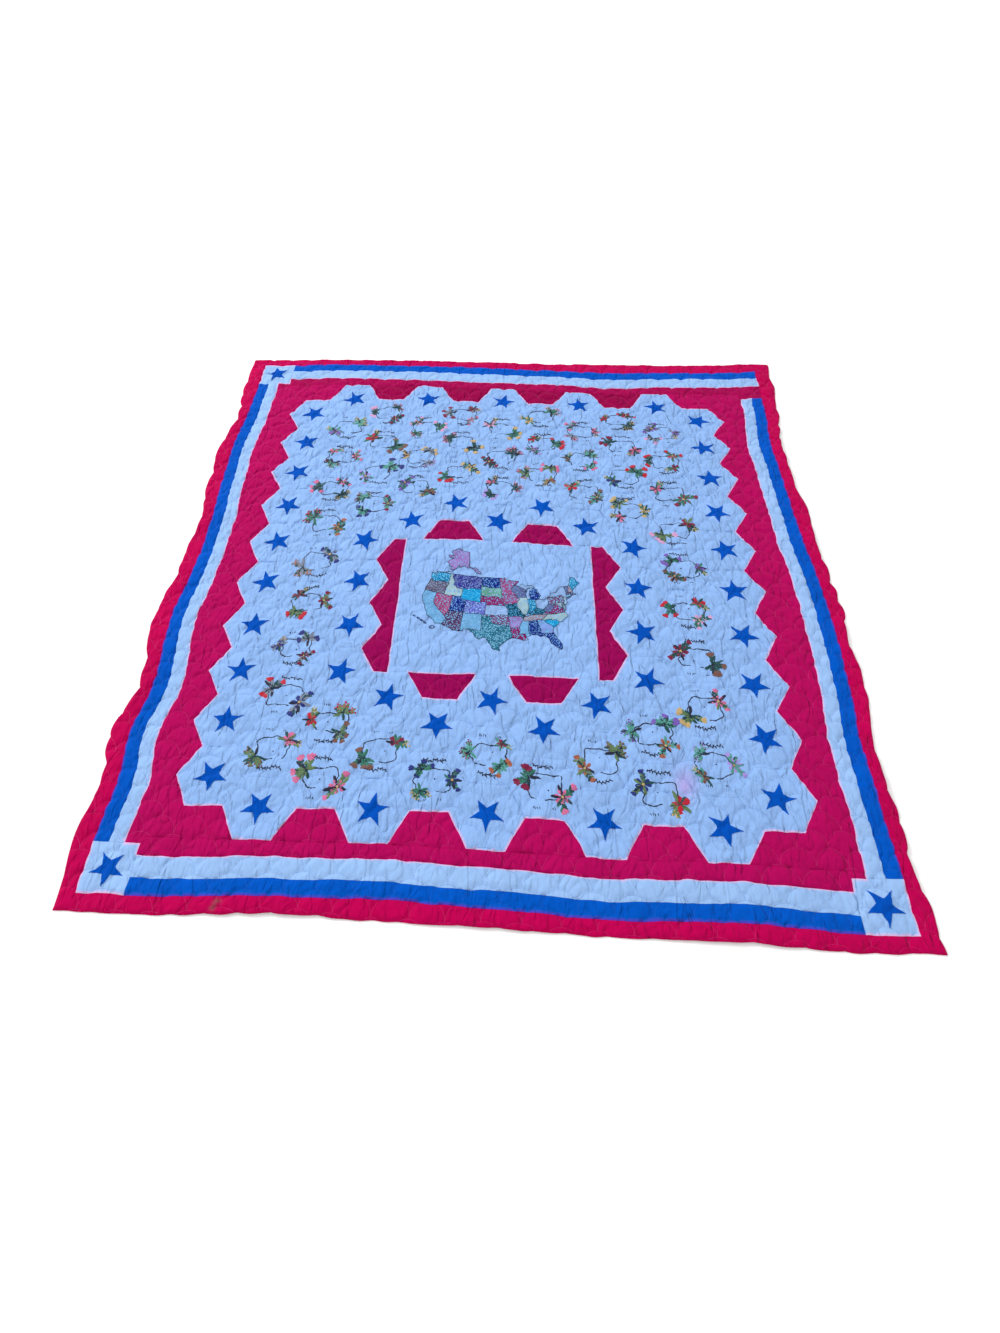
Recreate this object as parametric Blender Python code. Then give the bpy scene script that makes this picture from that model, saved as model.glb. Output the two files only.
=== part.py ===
"""Map quilt, laid flat.

Rows of hexagons surround a centre panel. Round them lie a red ground, a white and a blue strip,
corner squares and a red border. Every sewn piece is its own solid, padded by its quilting.
Layout points are (u, v) in hexagon sides from the middle of the hexagons: u to the right, v away.
"""

import math
from collections import namedtuple

import bmesh
import bpy
from mathutils import Vector
from mathutils.geometry import delaunay_2d_cdt

# Driving sizes in metres
HEX_SIDE = 0.1016
SEAM_GAP = 0.0003
LINE_THICKNESS = 0.0045
CROWN_THICKNESS = 0.0095

# Quilting, in hexagon sides: arcs of this radius stand in rows, one radius apart
ARC_RADIUS = 0.45
ARC_TO_CROWN = 0.19
UNEVEN = 0.22

# Hexagon rows, in hexagon sides
ROW_COUNT = 11
ROW_PITCH = 1.5
FIRST_ROW_U = -7.5
CELL_PITCH = math.sqrt(3)
MIDDLE_CELL = 5.5
ARRAY_V = MIDDLE_CELL * CELL_PITCH

# The opening for the centre panel: row, its far end and its near end in cell numbers
OPENING = {3: (5.0, 8.0), 4: (4.5, 8.5), 5: (5.0, 8.0), 6: (4.5, 8.5), 7: (5.0, 8.0)}
PANEL_HALF_WIDTH = 3.12
PANEL_FAR_CELL = 5
PANEL_NEAR_CELL = 8
CENTRE_RED_ROWS = (4, 6)

# Half widths of the strips and the border, in hexagon sides
WHITE_IN_U = 9.30
BLUE_IN_U = 9.73
BLUE_OUT_U = 10.14
EDGE_U = 10.60
WHITE_IN_V = 9.95
BLUE_IN_V = 10.50
BLUE_OUT_V = 10.93
EDGE_V = 11.36
CORNER_SIZE = 1.26
FAR_RIGHT_STRIP_END = 9.26

# Waves of the edges. Each row of a table is one bulge or one drawn-in place:
# along is its place on that side and strip and edge the outward shifts, in hexagon sides,
# and lift is how far the cloth stands off the floor at the edge, in metres.
Wave = namedtuple("Wave", "along strip edge lift")
LEFT_WAVES = (
    Wave(-11.4, -0.06, -0.10, 0.0),
    Wave(-9.6, -0.05, 0.05, 0.0),
    Wave(-8.1, -0.14, -0.14, 0.009),
    Wave(-6.6, 0.06, 0.18, 0.0),
    Wave(-5.0, -0.16, -0.20, 0.012),
    Wave(-2.2, 0.12, 0.24, 0.0),
    Wave(-0.6, -0.03, 0.0, 0.004),
    Wave(0.5, -0.06, 0.0, 0.0),
    Wave(1.7, -0.05, -0.14, 0.009),
    Wave(3.7, 0.10, 0.16, 0.0),
    Wave(5.7, 0.19, 0.25, 0.0),
    Wave(7.7, 0.06, -0.04, 0.007),
    Wave(9.6, 0.06, 0.20, 0.0),
    Wave(11.4, 0.05, 0.20, 0.0),
)
RIGHT_WAVES = (
    Wave(-11.4, -0.08, -0.05, 0.0),
    Wave(-10.4, -0.08, -0.08, 0.0),
    Wave(-9.3, -0.10, -0.26, 0.007),
    Wave(-8.3, -0.08, -0.15, 0.0),
    Wave(-7.3, -0.12, -0.25, 0.009),
    Wave(-6.2, -0.12, -0.22, 0.003),
    Wave(-4.2, 0.05, 0.06, 0.0),
    Wave(-2.6, 0.10, -0.05, 0.007),
    Wave(-1.6, 0.12, 0.12, 0.0),
    Wave(-0.2, 0.09, 0.05, 0.0),
    Wave(1.4, -0.04, -0.08, 0.006),
    Wave(2.5, -0.04, 0.04, 0.0),
    Wave(4.4, -0.09, -0.17, 0.005),
    Wave(6.2, -0.15, -0.22, 0.008),
    Wave(8.8, 0.05, 0.10, 0.0),
    Wave(10.3, 0.10, 0.24, 0.0),
    Wave(11.4, 0.10, 0.24, 0.0),
)
NEAR_WAVES = (
    Wave(-10.6, 0.10, 0.10, 0.0),
    Wave(-8.4, 0.09, 0.09, 0.0),
    Wave(-5.0, -0.06, -0.09, 0.005),
    Wave(-2.5, -0.11, -0.06, 0.0),
    Wave(0.0, -0.03, -0.04, 0.004),
    Wave(3.0, 0.08, 0.02, 0.0),
    Wave(6.0, -0.01, -0.01, 0.005),
    Wave(8.6, 0.10, 0.07, 0.0),
    Wave(10.6, 0.05, 0.0, 0.0),
)
FAR_WAVES = (
    Wave(-10.6, 0.05, 0.05, 0.0),
    Wave(-8.9, 0.08, 0.10, 0.0),
    Wave(-7.0, 0.18, 0.15, 0.0),
    Wave(-4.0, 0.13, 0.10, 0.0),
    Wave(-0.6, -0.04, -0.04, 0.004),
    Wave(1.5, -0.14, -0.10, 0.0),
    Wave(4.5, -0.38, -0.20, 0.006),
    Wave(6.4, -0.28, -0.15, 0.0),
    Wave(8.5, -0.25, -0.10, 0.0),
    Wave(10.6, -0.12, 0.0, 0.0),
)

# Where the shift of the strips begins, in hexagon sides from the middle
SIDE_SHIFT_START = 8.3
NEAR_SHIFT_START = 9.2
FAR_SHIFT_START = 5.0

# Places where the piecing is drawn along by its quilting, and how far toward the far edge,
# in hexagon sides
Pull = namedtuple("Pull", "u v far")
PULLS = (
    Pull(-1.5, 1.5, 0.27),
    Pull(-9.0, -2.0, -0.18),
    Pull(-9.0, 9.0, -0.18),
    Pull(-1.5, -9.0, 0.13),
    Pull(9.0, 9.0, -0.15),
)
PULL_REACH = 3.5
PULL_FADE_START = 8.7

# Mesh spacing, in hexagon sides
RIM_STEP = 0.5
RIM_CLEARANCE = 0.17
SAME_POINT = 1e-6
MERGE_DISTANCE = 1e-7

# Cloth colours as red, green and blue
WHITE_CLOTH = (0.72, 0.76, 0.88)
RED_CLOTH = (0.45, 0.006, 0.07)
BLUE_CLOTH = (0.004, 0.10, 0.50)
CLOTH_ROUGHNESS = 0.9

Piece = namedtuple("Piece", "name outline colour")


def clear_scene():
    for old in list(bpy.data.objects):
        bpy.data.objects.remove(old, do_unlink=True)


def ramp(low, high, value):
    """0 up to low, 1 from high, smooth between."""
    share = min(max((value - low) / (high - low), 0.0), 1.0)
    return share * share * (3.0 - 2.0 * share)


def wave_at(waves, along):
    """The table's strip shift, edge shift and lift at a place along a side."""
    if along <= waves[0].along:
        return waves[0]
    for before, after in zip(waves, waves[1:]):
        if along <= after.along:
            share = ramp(before.along, after.along, along)
            return Wave(*(a + (b - a) * share for a, b in zip(before, after)))
    return waves[-1]


def side_wave(u, v):
    return wave_at(LEFT_WAVES if u < 0 else RIGHT_WAVES, v)


def end_wave(u, v):
    return wave_at(NEAR_WAVES if v < 0 else FAR_WAVES, u)


def pulled(u, v):
    """How far a layout point is drawn toward the far edge, in hexagon sides."""
    shift = 0.0
    for pull in PULLS:
        away = math.hypot(u - pull.u, v - pull.v) / PULL_REACH
        shift += pull.far * math.exp(-(away**2))
    return shift * (1.0 - ramp(PULL_FADE_START, WHITE_IN_V, abs(v)))


def place(point):
    """Plan position in metres of a layout point, with the edges' waves."""
    u, v = point
    side = side_wave(u, v)
    end = end_wave(u, v)
    end_start = NEAR_SHIFT_START if v < 0 else FAR_SHIFT_START
    out_u = side.strip * ramp(SIDE_SHIFT_START, WHITE_IN_U, abs(u))
    out_u += (side.edge - side.strip) * ramp(BLUE_OUT_U, EDGE_U, abs(u))
    out_v = end.strip * ramp(end_start, WHITE_IN_V, abs(v))
    out_v += (end.edge - end.strip) * ramp(BLUE_OUT_V, EDGE_V, abs(v))
    x = u + out_u * math.copysign(1.0, u)
    y = v + out_v * math.copysign(1.0, v) + pulled(u, v)
    return Vector((x * HEX_SIDE, y * HEX_SIDE))


def lift(point):
    """Height of the underside above the floor, in metres."""
    u, v = point
    side = side_wave(u, v).lift * ramp(WHITE_IN_U, EDGE_U, abs(u))
    end = end_wave(u, v).lift * ramp(WHITE_IN_V, EDGE_V, abs(v))
    return max(side, end)


def line_distance(point):
    """Distance from a layout point to the nearest quilting arc, in hexagon sides."""
    u, v = point
    band = math.floor(v / ARC_RADIUS)
    nearest = ARC_RADIUS
    for row in (band - 1, band):
        start = ARC_RADIUS * (row % 2)
        number = math.floor((u - start) / (2 * ARC_RADIUS))
        for arc in (number, number + 1):
            centre_u = start + 2 * ARC_RADIUS * arc
            reach = math.hypot(u - centre_u, v - row * ARC_RADIUS)
            nearest = min(nearest, abs(reach - ARC_RADIUS))
    return nearest


def thickness(point):
    """Thickness of the padded cloth at a layout point, thin along each quilting arc."""
    u, v = point
    fullness = ramp(0.0, ARC_TO_CROWN, line_distance(point))
    uneven = 1.0 - UNEVEN * (0.5 + 0.5 * math.sin(1.7 * u + 0.9 * v) * math.cos(1.1 * u - 1.3 * v))
    return LINE_THICKNESS + (CROWN_THICKNESS - LINE_THICKNESS) * fullness * uneven


def cell_v(cell):
    return (MIDDLE_CELL - cell) * CELL_PITCH


def row_u(row):
    return FIRST_ROW_U + ROW_PITCH * row


def rectangle(low_u, high_u, low_v, high_v):
    return [(low_u, low_v), (high_u, low_v), (high_u, high_v), (low_u, high_v)]


def trapezoid(middle_u, wide_v, narrow_v):
    """The red piece between two hexagon points: two sides wide at wide_v and one at narrow_v."""
    points = [
        (middle_u - 1.0, wide_v),
        (middle_u + 1.0, wide_v),
        (middle_u + 0.5, narrow_v),
        (middle_u - 0.5, narrow_v),
    ]
    return points if narrow_v > wide_v else points[::-1]


def hexagon_edge(u, far, near, side):
    """Corners and tips down one side of a row of hexagons, from its far end to its near end."""
    points = [(u + 0.5 * side, cell_v(far))]
    for step in range(round(near - far)):
        points.append((u + side, cell_v(far + step + 0.5)))
        points.append((u + 0.5 * side, cell_v(far + step + 1)))
    return points


def hexagon_row(u, far, near):
    left = hexagon_edge(u, far, near, -1)
    right = hexagon_edge(u, far, near, 1)
    return left + right[::-1]


def hexagon_pieces():
    """A piece for each row of hexagons, and two where the centre panel parts a row."""
    pieces = []
    for row in range(ROW_COUNT):
        even = row % 2 == 0
        far = 0.5 if even else 0.0
        near = 10.5 if even else 11.0
        name = f"hexagon_row_{row + 1:02d}"
        if row in OPENING:
            gap_far, gap_near = OPENING[row]
            pieces.append(Piece(name + "_far", hexagon_row(row_u(row), far, gap_far), WHITE_CLOTH))
            pieces.append(Piece(name + "_near", hexagon_row(row_u(row), gap_near, near), WHITE_CLOTH))
        else:
            pieces.append(Piece(name, hexagon_row(row_u(row), far, near), WHITE_CLOTH))
    return pieces


def centre_side(side):
    """The zigzag red piece between the centre panel and the hexagons beside it."""
    beside = row_u(2 if side < 0 else 8)
    zigzag = hexagon_edge(beside, PANEL_FAR_CELL - 0.5, PANEL_NEAR_CELL + 0.5, -side)[1:-1]
    inner = side * PANEL_HALF_WIDTH
    outline = zigzag + [(inner, cell_v(PANEL_NEAR_CELL)), (inner, cell_v(PANEL_FAR_CELL))]
    return outline if side < 0 else outline[::-1]


def centre_pieces():
    far = cell_v(PANEL_FAR_CELL)
    near = cell_v(PANEL_NEAR_CELL)
    panel = rectangle(-PANEL_HALF_WIDTH, PANEL_HALF_WIDTH, near, far)
    pieces = [Piece("centre_panel", panel, WHITE_CLOTH)]
    for number, row in enumerate(CENTRE_RED_ROWS, start=1):
        far_end = cell_v(OPENING[row][0])
        near_end = cell_v(OPENING[row][1])
        far_red = trapezoid(row_u(row), far, far_end)
        near_red = trapezoid(row_u(row), near, near_end)
        pieces.append(Piece(f"centre_red_far_{number}", far_red, RED_CLOTH))
        pieces.append(Piece(f"centre_red_near_{number}", near_red, RED_CLOTH))
    pieces.append(Piece("centre_red_left", centre_side(-1), RED_CLOTH))
    pieces.append(Piece("centre_red_right", centre_side(1), RED_CLOTH))
    return pieces


def ground_side(side):
    """The red ground left or right of the hexagons, with their zigzag as its inner edge."""
    end_row = 0 if side < 0 else ROW_COUNT - 1
    zigzag = hexagon_edge(row_u(end_row), 0.5, 10.5, side)
    turn = row_u(end_row) - 0.5 * side
    corner = row_u(end_row) - side
    outline = [(side * WHITE_IN_U, ARRAY_V), (side * WHITE_IN_U, -ARRAY_V), (corner, -ARRAY_V)]
    outline.append((turn, zigzag[-1][1]))
    outline += zigzag[::-1]
    outline += [(turn, zigzag[0][1]), (corner, ARRAY_V)]
    return outline if side < 0 else outline[::-1]


def ground_end(near):
    """The red strip beyond the hexagons at the near end, or at the far end with its right corner."""
    square_u = BLUE_OUT_U - CORNER_SIZE
    square_v = BLUE_OUT_V - CORNER_SIZE
    if near:
        return [
            (-WHITE_IN_U, -ARRAY_V),
            (-WHITE_IN_U, -square_v),
            (-square_u, -square_v),
            (-square_u, -WHITE_IN_V),
            (square_u, -WHITE_IN_V),
            (square_u, -square_v),
            (WHITE_IN_U, -square_v),
            (WHITE_IN_U, -ARRAY_V),
        ]
    return [
        (-WHITE_IN_U, ARRAY_V),
        (WHITE_IN_U, ARRAY_V),
        (WHITE_IN_U, FAR_RIGHT_STRIP_END),
        (BLUE_OUT_U, FAR_RIGHT_STRIP_END),
        (BLUE_OUT_U, WHITE_IN_V),
        (-square_u, WHITE_IN_V),
        (-square_u, square_v),
        (-WHITE_IN_U, square_v),
    ]


def ground_pieces():
    pieces = [
        Piece("ground_left", ground_side(-1), RED_CLOTH),
        Piece("ground_right", ground_side(1), RED_CLOTH),
        Piece("ground_near", ground_end(True), RED_CLOTH),
        Piece("ground_far", ground_end(False), RED_CLOTH),
    ]
    for number, row in enumerate(range(2, ROW_COUNT - 1, 2), start=1):
        near_tooth = trapezoid(row_u(row), -ARRAY_V, cell_v(10.5))
        far_tooth = trapezoid(row_u(row), ARRAY_V, cell_v(0.5))
        pieces.append(Piece(f"ground_tooth_near_{number}", near_tooth, RED_CLOTH))
        pieces.append(Piece(f"ground_tooth_far_{number}", far_tooth, RED_CLOTH))
    return pieces


def strip_pieces():
    """A white and a blue strip on each side, ending at the corner squares where there are any."""
    square_u = BLUE_OUT_U - CORNER_SIZE
    square_v = BLUE_OUT_V - CORNER_SIZE
    bands = (
        ("white_strip", WHITE_CLOTH, WHITE_IN_U, BLUE_IN_U, WHITE_IN_V, BLUE_IN_V),
        ("blue_strip", BLUE_CLOTH, BLUE_IN_U, BLUE_OUT_U, BLUE_IN_V, BLUE_OUT_V),
    )
    pieces = []
    for name, colour, in_u, out_u, in_v, out_v in bands:
        left = rectangle(-out_u, -in_u, -square_v, square_v)
        right = rectangle(in_u, out_u, -square_v, FAR_RIGHT_STRIP_END)
        near = rectangle(-square_u, square_u, -out_v, -in_v)
        far = rectangle(-square_u, BLUE_OUT_U, in_v, out_v)
        pieces.append(Piece(name + "_left", left, colour))
        pieces.append(Piece(name + "_right", right, colour))
        pieces.append(Piece(name + "_near", near, colour))
        pieces.append(Piece(name + "_far", far, colour))
    return pieces


def corner_pieces():
    low_u = BLUE_OUT_U - CORNER_SIZE
    low_v = BLUE_OUT_V - CORNER_SIZE
    near_left = rectangle(-BLUE_OUT_U, -low_u, -BLUE_OUT_V, -low_v)
    near_right = rectangle(low_u, BLUE_OUT_U, -BLUE_OUT_V, -low_v)
    far_left = rectangle(-BLUE_OUT_U, -low_u, low_v, BLUE_OUT_V)
    return [
        Piece("corner_square_near_left", near_left, WHITE_CLOTH),
        Piece("corner_square_near_right", near_right, WHITE_CLOTH),
        Piece("corner_square_far_left", far_left, WHITE_CLOTH),
    ]


def border_pieces():
    """The outer border: its sides run the full length and its ends lie between them."""
    return [
        Piece("border_left", rectangle(-EDGE_U, -BLUE_OUT_U, -EDGE_V, EDGE_V), RED_CLOTH),
        Piece("border_right", rectangle(BLUE_OUT_U, EDGE_U, -EDGE_V, EDGE_V), RED_CLOTH),
        Piece("border_near", rectangle(-BLUE_OUT_U, BLUE_OUT_U, -EDGE_V, -BLUE_OUT_V), RED_CLOTH),
        Piece("border_far", rectangle(-BLUE_OUT_U, BLUE_OUT_U, BLUE_OUT_V, EDGE_V), RED_CLOTH),
    ]


def share_along(point, start, end):
    """Where a point lies on the edge from start to end, or None if it is off that edge."""
    along_u = end[0] - start[0]
    along_v = end[1] - start[1]
    length = math.hypot(along_u, along_v)
    off_u = point[0] - start[0]
    off_v = point[1] - start[1]
    share = (off_u * along_u + off_v * along_v) / length**2
    aside = abs(off_u * along_v - off_v * along_u) / length
    inside = SAME_POINT < share < 1.0 - SAME_POINT
    return share if inside and aside < SAME_POINT else None


def even_steps(start, end):
    """Points from start up to but not including end, the same whichever way the edge is walked."""
    count = math.ceil(math.dist(start, end) / RIM_STEP - SAME_POINT)
    low, high = sorted((start, end))
    line = [
        (low[0] + (high[0] - low[0]) * i / count, low[1] + (high[1] - low[1]) * i / count)
        for i in range(count + 1)
    ]
    return line[:-1] if start == low else line[:0:-1]


def rim_of(outline, corners):
    """The outline with its neighbours' corners added and its long edges parted evenly."""
    rim = []
    for start, end in zip(outline, outline[1:] + outline[:1]):
        stops = {0.0: start, 1.0: end}
        for corner in corners:
            share = share_along(corner, start, end)
            if share is not None:
                stops[share] = corner
        line = [stops[share] for share in sorted(stops)]
        for low, high in zip(line, line[1:]):
            rim += even_steps(low, high)
    return rim


def inset(plan, distance):
    """The closed outline moved inwards, in metres."""
    moved = []
    for before, here, after in zip(plan[-1:] + plan[:-1], plan, plan[1:] + plan[:1]):
        first = (here - before).normalized()
        second = (after - here).normalized()
        inward = Vector((-first.y - second.y, first.x + second.x))
        moved.append(here + inward * (distance / (1.0 + first.dot(second))))
    return moved


def rim_distance(point, rim):
    """Distance from a layout point to the rim, negative outside it."""
    nearest = math.inf
    inside = False
    for start, end in zip(rim, rim[1:] + rim[:1]):
        along = (end[0] - start[0], end[1] - start[1])
        off = (point[0] - start[0], point[1] - start[1])
        share = (off[0] * along[0] + off[1] * along[1]) / (along[0] ** 2 + along[1] ** 2)
        share = min(max(share, 0.0), 1.0)
        nearest = min(nearest, math.hypot(off[0] - share * along[0], off[1] - share * along[1]))
        if (start[1] > point[1]) != (end[1] > point[1]):
            crossing = start[0] + along[0] * (point[1] - start[1]) / along[1]
            inside ^= crossing > point[0]
    return nearest if inside else -nearest


def quilting_points(rim):
    """Crown and line points of the quilting inside a rim, as {(column, row): layout point}."""
    low_u = min(u for u, _ in rim)
    high_u = max(u for u, _ in rim)
    low_v = min(v for _, v in rim)
    high_v = max(v for _, v in rim)
    found = {}
    for column in range(math.ceil(low_u / ARC_RADIUS), math.floor(high_u / ARC_RADIUS) + 1):
        for row in range(math.ceil(low_v / ARC_RADIUS), math.floor(high_v / ARC_RADIUS) + 1):
            point = (column * ARC_RADIUS, row * ARC_RADIUS)
            if rim_distance(point, rim) > RIM_CLEARANCE:
                found[(column, row)] = point
    return found


def line_edges(points, rim):
    """Pairs of neighbouring line points, which keep each arc as a valley in the mesh."""
    pairs = []
    for column, row in points:
        if (column + row) % 2 == 0:
            continue
        for step in (-1, 1):
            other = (column + step, row + 1)
            middle = ((column + 0.5 * step) * ARC_RADIUS, (row + 0.5) * ARC_RADIUS)
            if other in points and rim_distance(middle, rim) > RIM_CLEARANCE:
                pairs.append(((column, row), other))
    return pairs


def around(face):
    """The face's edges, each as its first and second corner."""
    return list(zip(face, face[1:] + face[:1]))


def triangles_inside(plan, rim_count, extra_edges):
    """Triangles of plan points within the rim, which is the first rim_count of them."""
    loop = around(list(range(rim_count)))
    result = delaunay_2d_cdt(plan, loop + extra_edges, [], 0, MERGE_DISTANCE, True)
    faces, sources = result[2], result[3]
    triangles = [[sources[corner][0] for corner in face] for face in faces]
    owner = {edge: number for number, face in enumerate(triangles) for edge in around(face)}
    waiting = [owner[edge] for edge in loop]
    inside = set()
    while waiting:
        number = waiting.pop()
        if number not in inside:
            inside.add(number)
            crossed = [(a, b) for a, b in around(triangles[number]) if (a, b) not in loop]
            waiting += [owner[(b, a)] for a, b in crossed]
    return [triangles[number] for number in sorted(inside)]


def cloth_material(colour):
    name = {WHITE_CLOTH: "white_cloth", RED_CLOTH: "red_cloth", BLUE_CLOTH: "blue_cloth"}[colour]
    material = bpy.data.materials.get(name)
    if material is None:
        material = bpy.data.materials.new(name)
        material.use_nodes = True
        shader = material.node_tree.nodes["Principled BSDF"]
        shader.inputs["Base Color"].default_value = (*colour, 1.0)
        shader.inputs["Roughness"].default_value = CLOTH_ROUGHNESS
        shader.inputs["Metallic"].default_value = 0.0
        material.diffuse_color = (*colour, 1.0)
    return material


def make_piece(piece, corners, parent):
    """One padded piece: quilted top, flat or lifted underside, and a wall round its rim."""
    rim = rim_of(piece.outline, corners)
    rim_count = len(rim)
    inner = quilting_points(rim)
    numbers = {key: rim_count + i for i, key in enumerate(inner)}
    layout = rim + list(inner.values())
    rim_plan = inset([place(point) for point in rim], SEAM_GAP / 2)
    plan = rim_plan + [place(point) for point in inner.values()]
    valleys = [(numbers[a], numbers[b]) for a, b in line_edges(inner, rim)]

    bm = bmesh.new()
    top = [
        bm.verts.new((spot.x, spot.y, lift(point) + thickness(point)))
        for spot, point in zip(plan, layout)
    ]
    under = [bm.verts.new((spot.x, spot.y, lift(point))) for spot, point in zip(rim_plan, rim)]
    for face in triangles_inside(plan, rim_count, valleys):
        bm.faces.new([top[i] for i in face])
    for face in triangles_inside(rim_plan, rim_count, []):
        bm.faces.new([under[i] for i in reversed(face)])
    for i in range(rim_count):
        j = (i + 1) % rim_count
        bm.faces.new((top[i], under[i], under[j], top[j]))
    bm.normal_update()

    mesh = bpy.data.meshes.new(piece.name)
    bm.to_mesh(mesh)
    bm.free()
    mesh.shade_smooth()
    mesh.set_sharp_from_angle(angle=math.radians(40))
    mesh.materials.append(cloth_material(piece.colour))
    made = bpy.data.objects.new(piece.name, mesh)
    bpy.context.scene.collection.objects.link(made)
    made.parent = parent
    return made


def middle_of(objects):
    """Middle of the plan of all pieces, in metres."""
    points = [vertex.co for made in objects for vertex in made.data.vertices]
    low = [min(point[axis] for point in points) for axis in (0, 1)]
    high = [max(point[axis] for point in points) for axis in (0, 1)]
    return [(a + b) / 2 for a, b in zip(low, high)]


def main():
    clear_scene()
    quilt = bpy.data.objects.new("quilt", None)
    bpy.context.scene.collection.objects.link(quilt)
    pieces = centre_pieces() + hexagon_pieces() + ground_pieces()
    pieces += strip_pieces() + corner_pieces() + border_pieces()
    corners = {corner for piece in pieces for corner in piece.outline}
    made = [make_piece(piece, corners, quilt) for piece in pieces]
    middle = middle_of(made)
    quilt.location = (-middle[0], -middle[1], 0.0)


main()
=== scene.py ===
"""Map quilt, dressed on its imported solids.

Every patch of cloth, applique and stitch is made on one quilted surface, in the solids' layout:
(u, v) in hexagon sides from the middle of the hexagons, u to the right and v away.
"""

import math
import random
from collections import namedtuple

import bpy
import numpy as np
from mathutils import Matrix, Vector
from mathutils.geometry import delaunay_2d_cdt


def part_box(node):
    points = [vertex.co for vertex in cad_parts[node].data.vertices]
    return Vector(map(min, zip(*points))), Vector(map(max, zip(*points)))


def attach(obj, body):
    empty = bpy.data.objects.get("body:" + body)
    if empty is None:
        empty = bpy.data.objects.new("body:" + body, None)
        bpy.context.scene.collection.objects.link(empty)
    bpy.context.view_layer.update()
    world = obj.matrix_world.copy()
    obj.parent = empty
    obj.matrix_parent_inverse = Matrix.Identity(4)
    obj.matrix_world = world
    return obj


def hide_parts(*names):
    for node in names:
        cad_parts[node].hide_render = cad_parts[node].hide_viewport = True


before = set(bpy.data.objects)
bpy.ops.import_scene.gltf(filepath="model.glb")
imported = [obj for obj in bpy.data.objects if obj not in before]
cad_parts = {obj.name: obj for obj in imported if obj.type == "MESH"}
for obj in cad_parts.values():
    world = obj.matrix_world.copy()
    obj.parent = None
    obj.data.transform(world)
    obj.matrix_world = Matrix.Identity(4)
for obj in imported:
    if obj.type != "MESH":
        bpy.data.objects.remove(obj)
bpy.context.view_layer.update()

# Sizes that the solids have too, in metres
HEX_SIDE = 0.1016
SEAM_GAP = 0.0003
LINE_THICKNESS = 0.0045
CROWN_THICKNESS = 0.0095

# Quilting, in hexagon sides: the arcs, the way from an arc to full padding, how fast the padding
# fills up on that way, and how unevenly it is filled over the quilt
ARC_RADIUS = 0.45
ARC_TO_CROWN = 0.19
FULLNESS = 2.2
UNEVEN = 0.22
UNEVEN_TURNS = ((1.7, 0.9), (1.1, -1.3))

# Hexagon rows, in hexagon sides
ROW_COUNT = 11
ROW_PITCH = 1.5
FIRST_ROW_U = -7.5
CELL_PITCH = math.sqrt(3)
MIDDLE_CELL = 5.5
ARRAY_V = MIDDLE_CELL * CELL_PITCH

# The opening for the centre panel: row, its far end and its near end in cell numbers
OPENING = {3: (5.0, 8.0), 4: (4.5, 8.5), 5: (5.0, 8.0), 6: (4.5, 8.5), 7: (5.0, 8.0)}
PANEL_HALF_WIDTH = 3.12
PANEL_FAR_CELL = 5
PANEL_NEAR_CELL = 8
PANEL_PROBES = 25
CENTRE_RED_ROWS = (4, 6)

# Half widths of the strips and the border, in hexagon sides
WHITE_IN_U = 9.30
BLUE_IN_U = 9.73
BLUE_OUT_U = 10.14
EDGE_U = 10.60
WHITE_IN_V = 9.95
BLUE_IN_V = 10.50
BLUE_OUT_V = 10.93
EDGE_V = 11.36
CORNER_SIZE = 1.26
SQUARE_U = BLUE_OUT_U - CORNER_SIZE
SQUARE_V = BLUE_OUT_V - CORNER_SIZE
FAR_RIGHT_STRIP_END = 9.26

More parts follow.
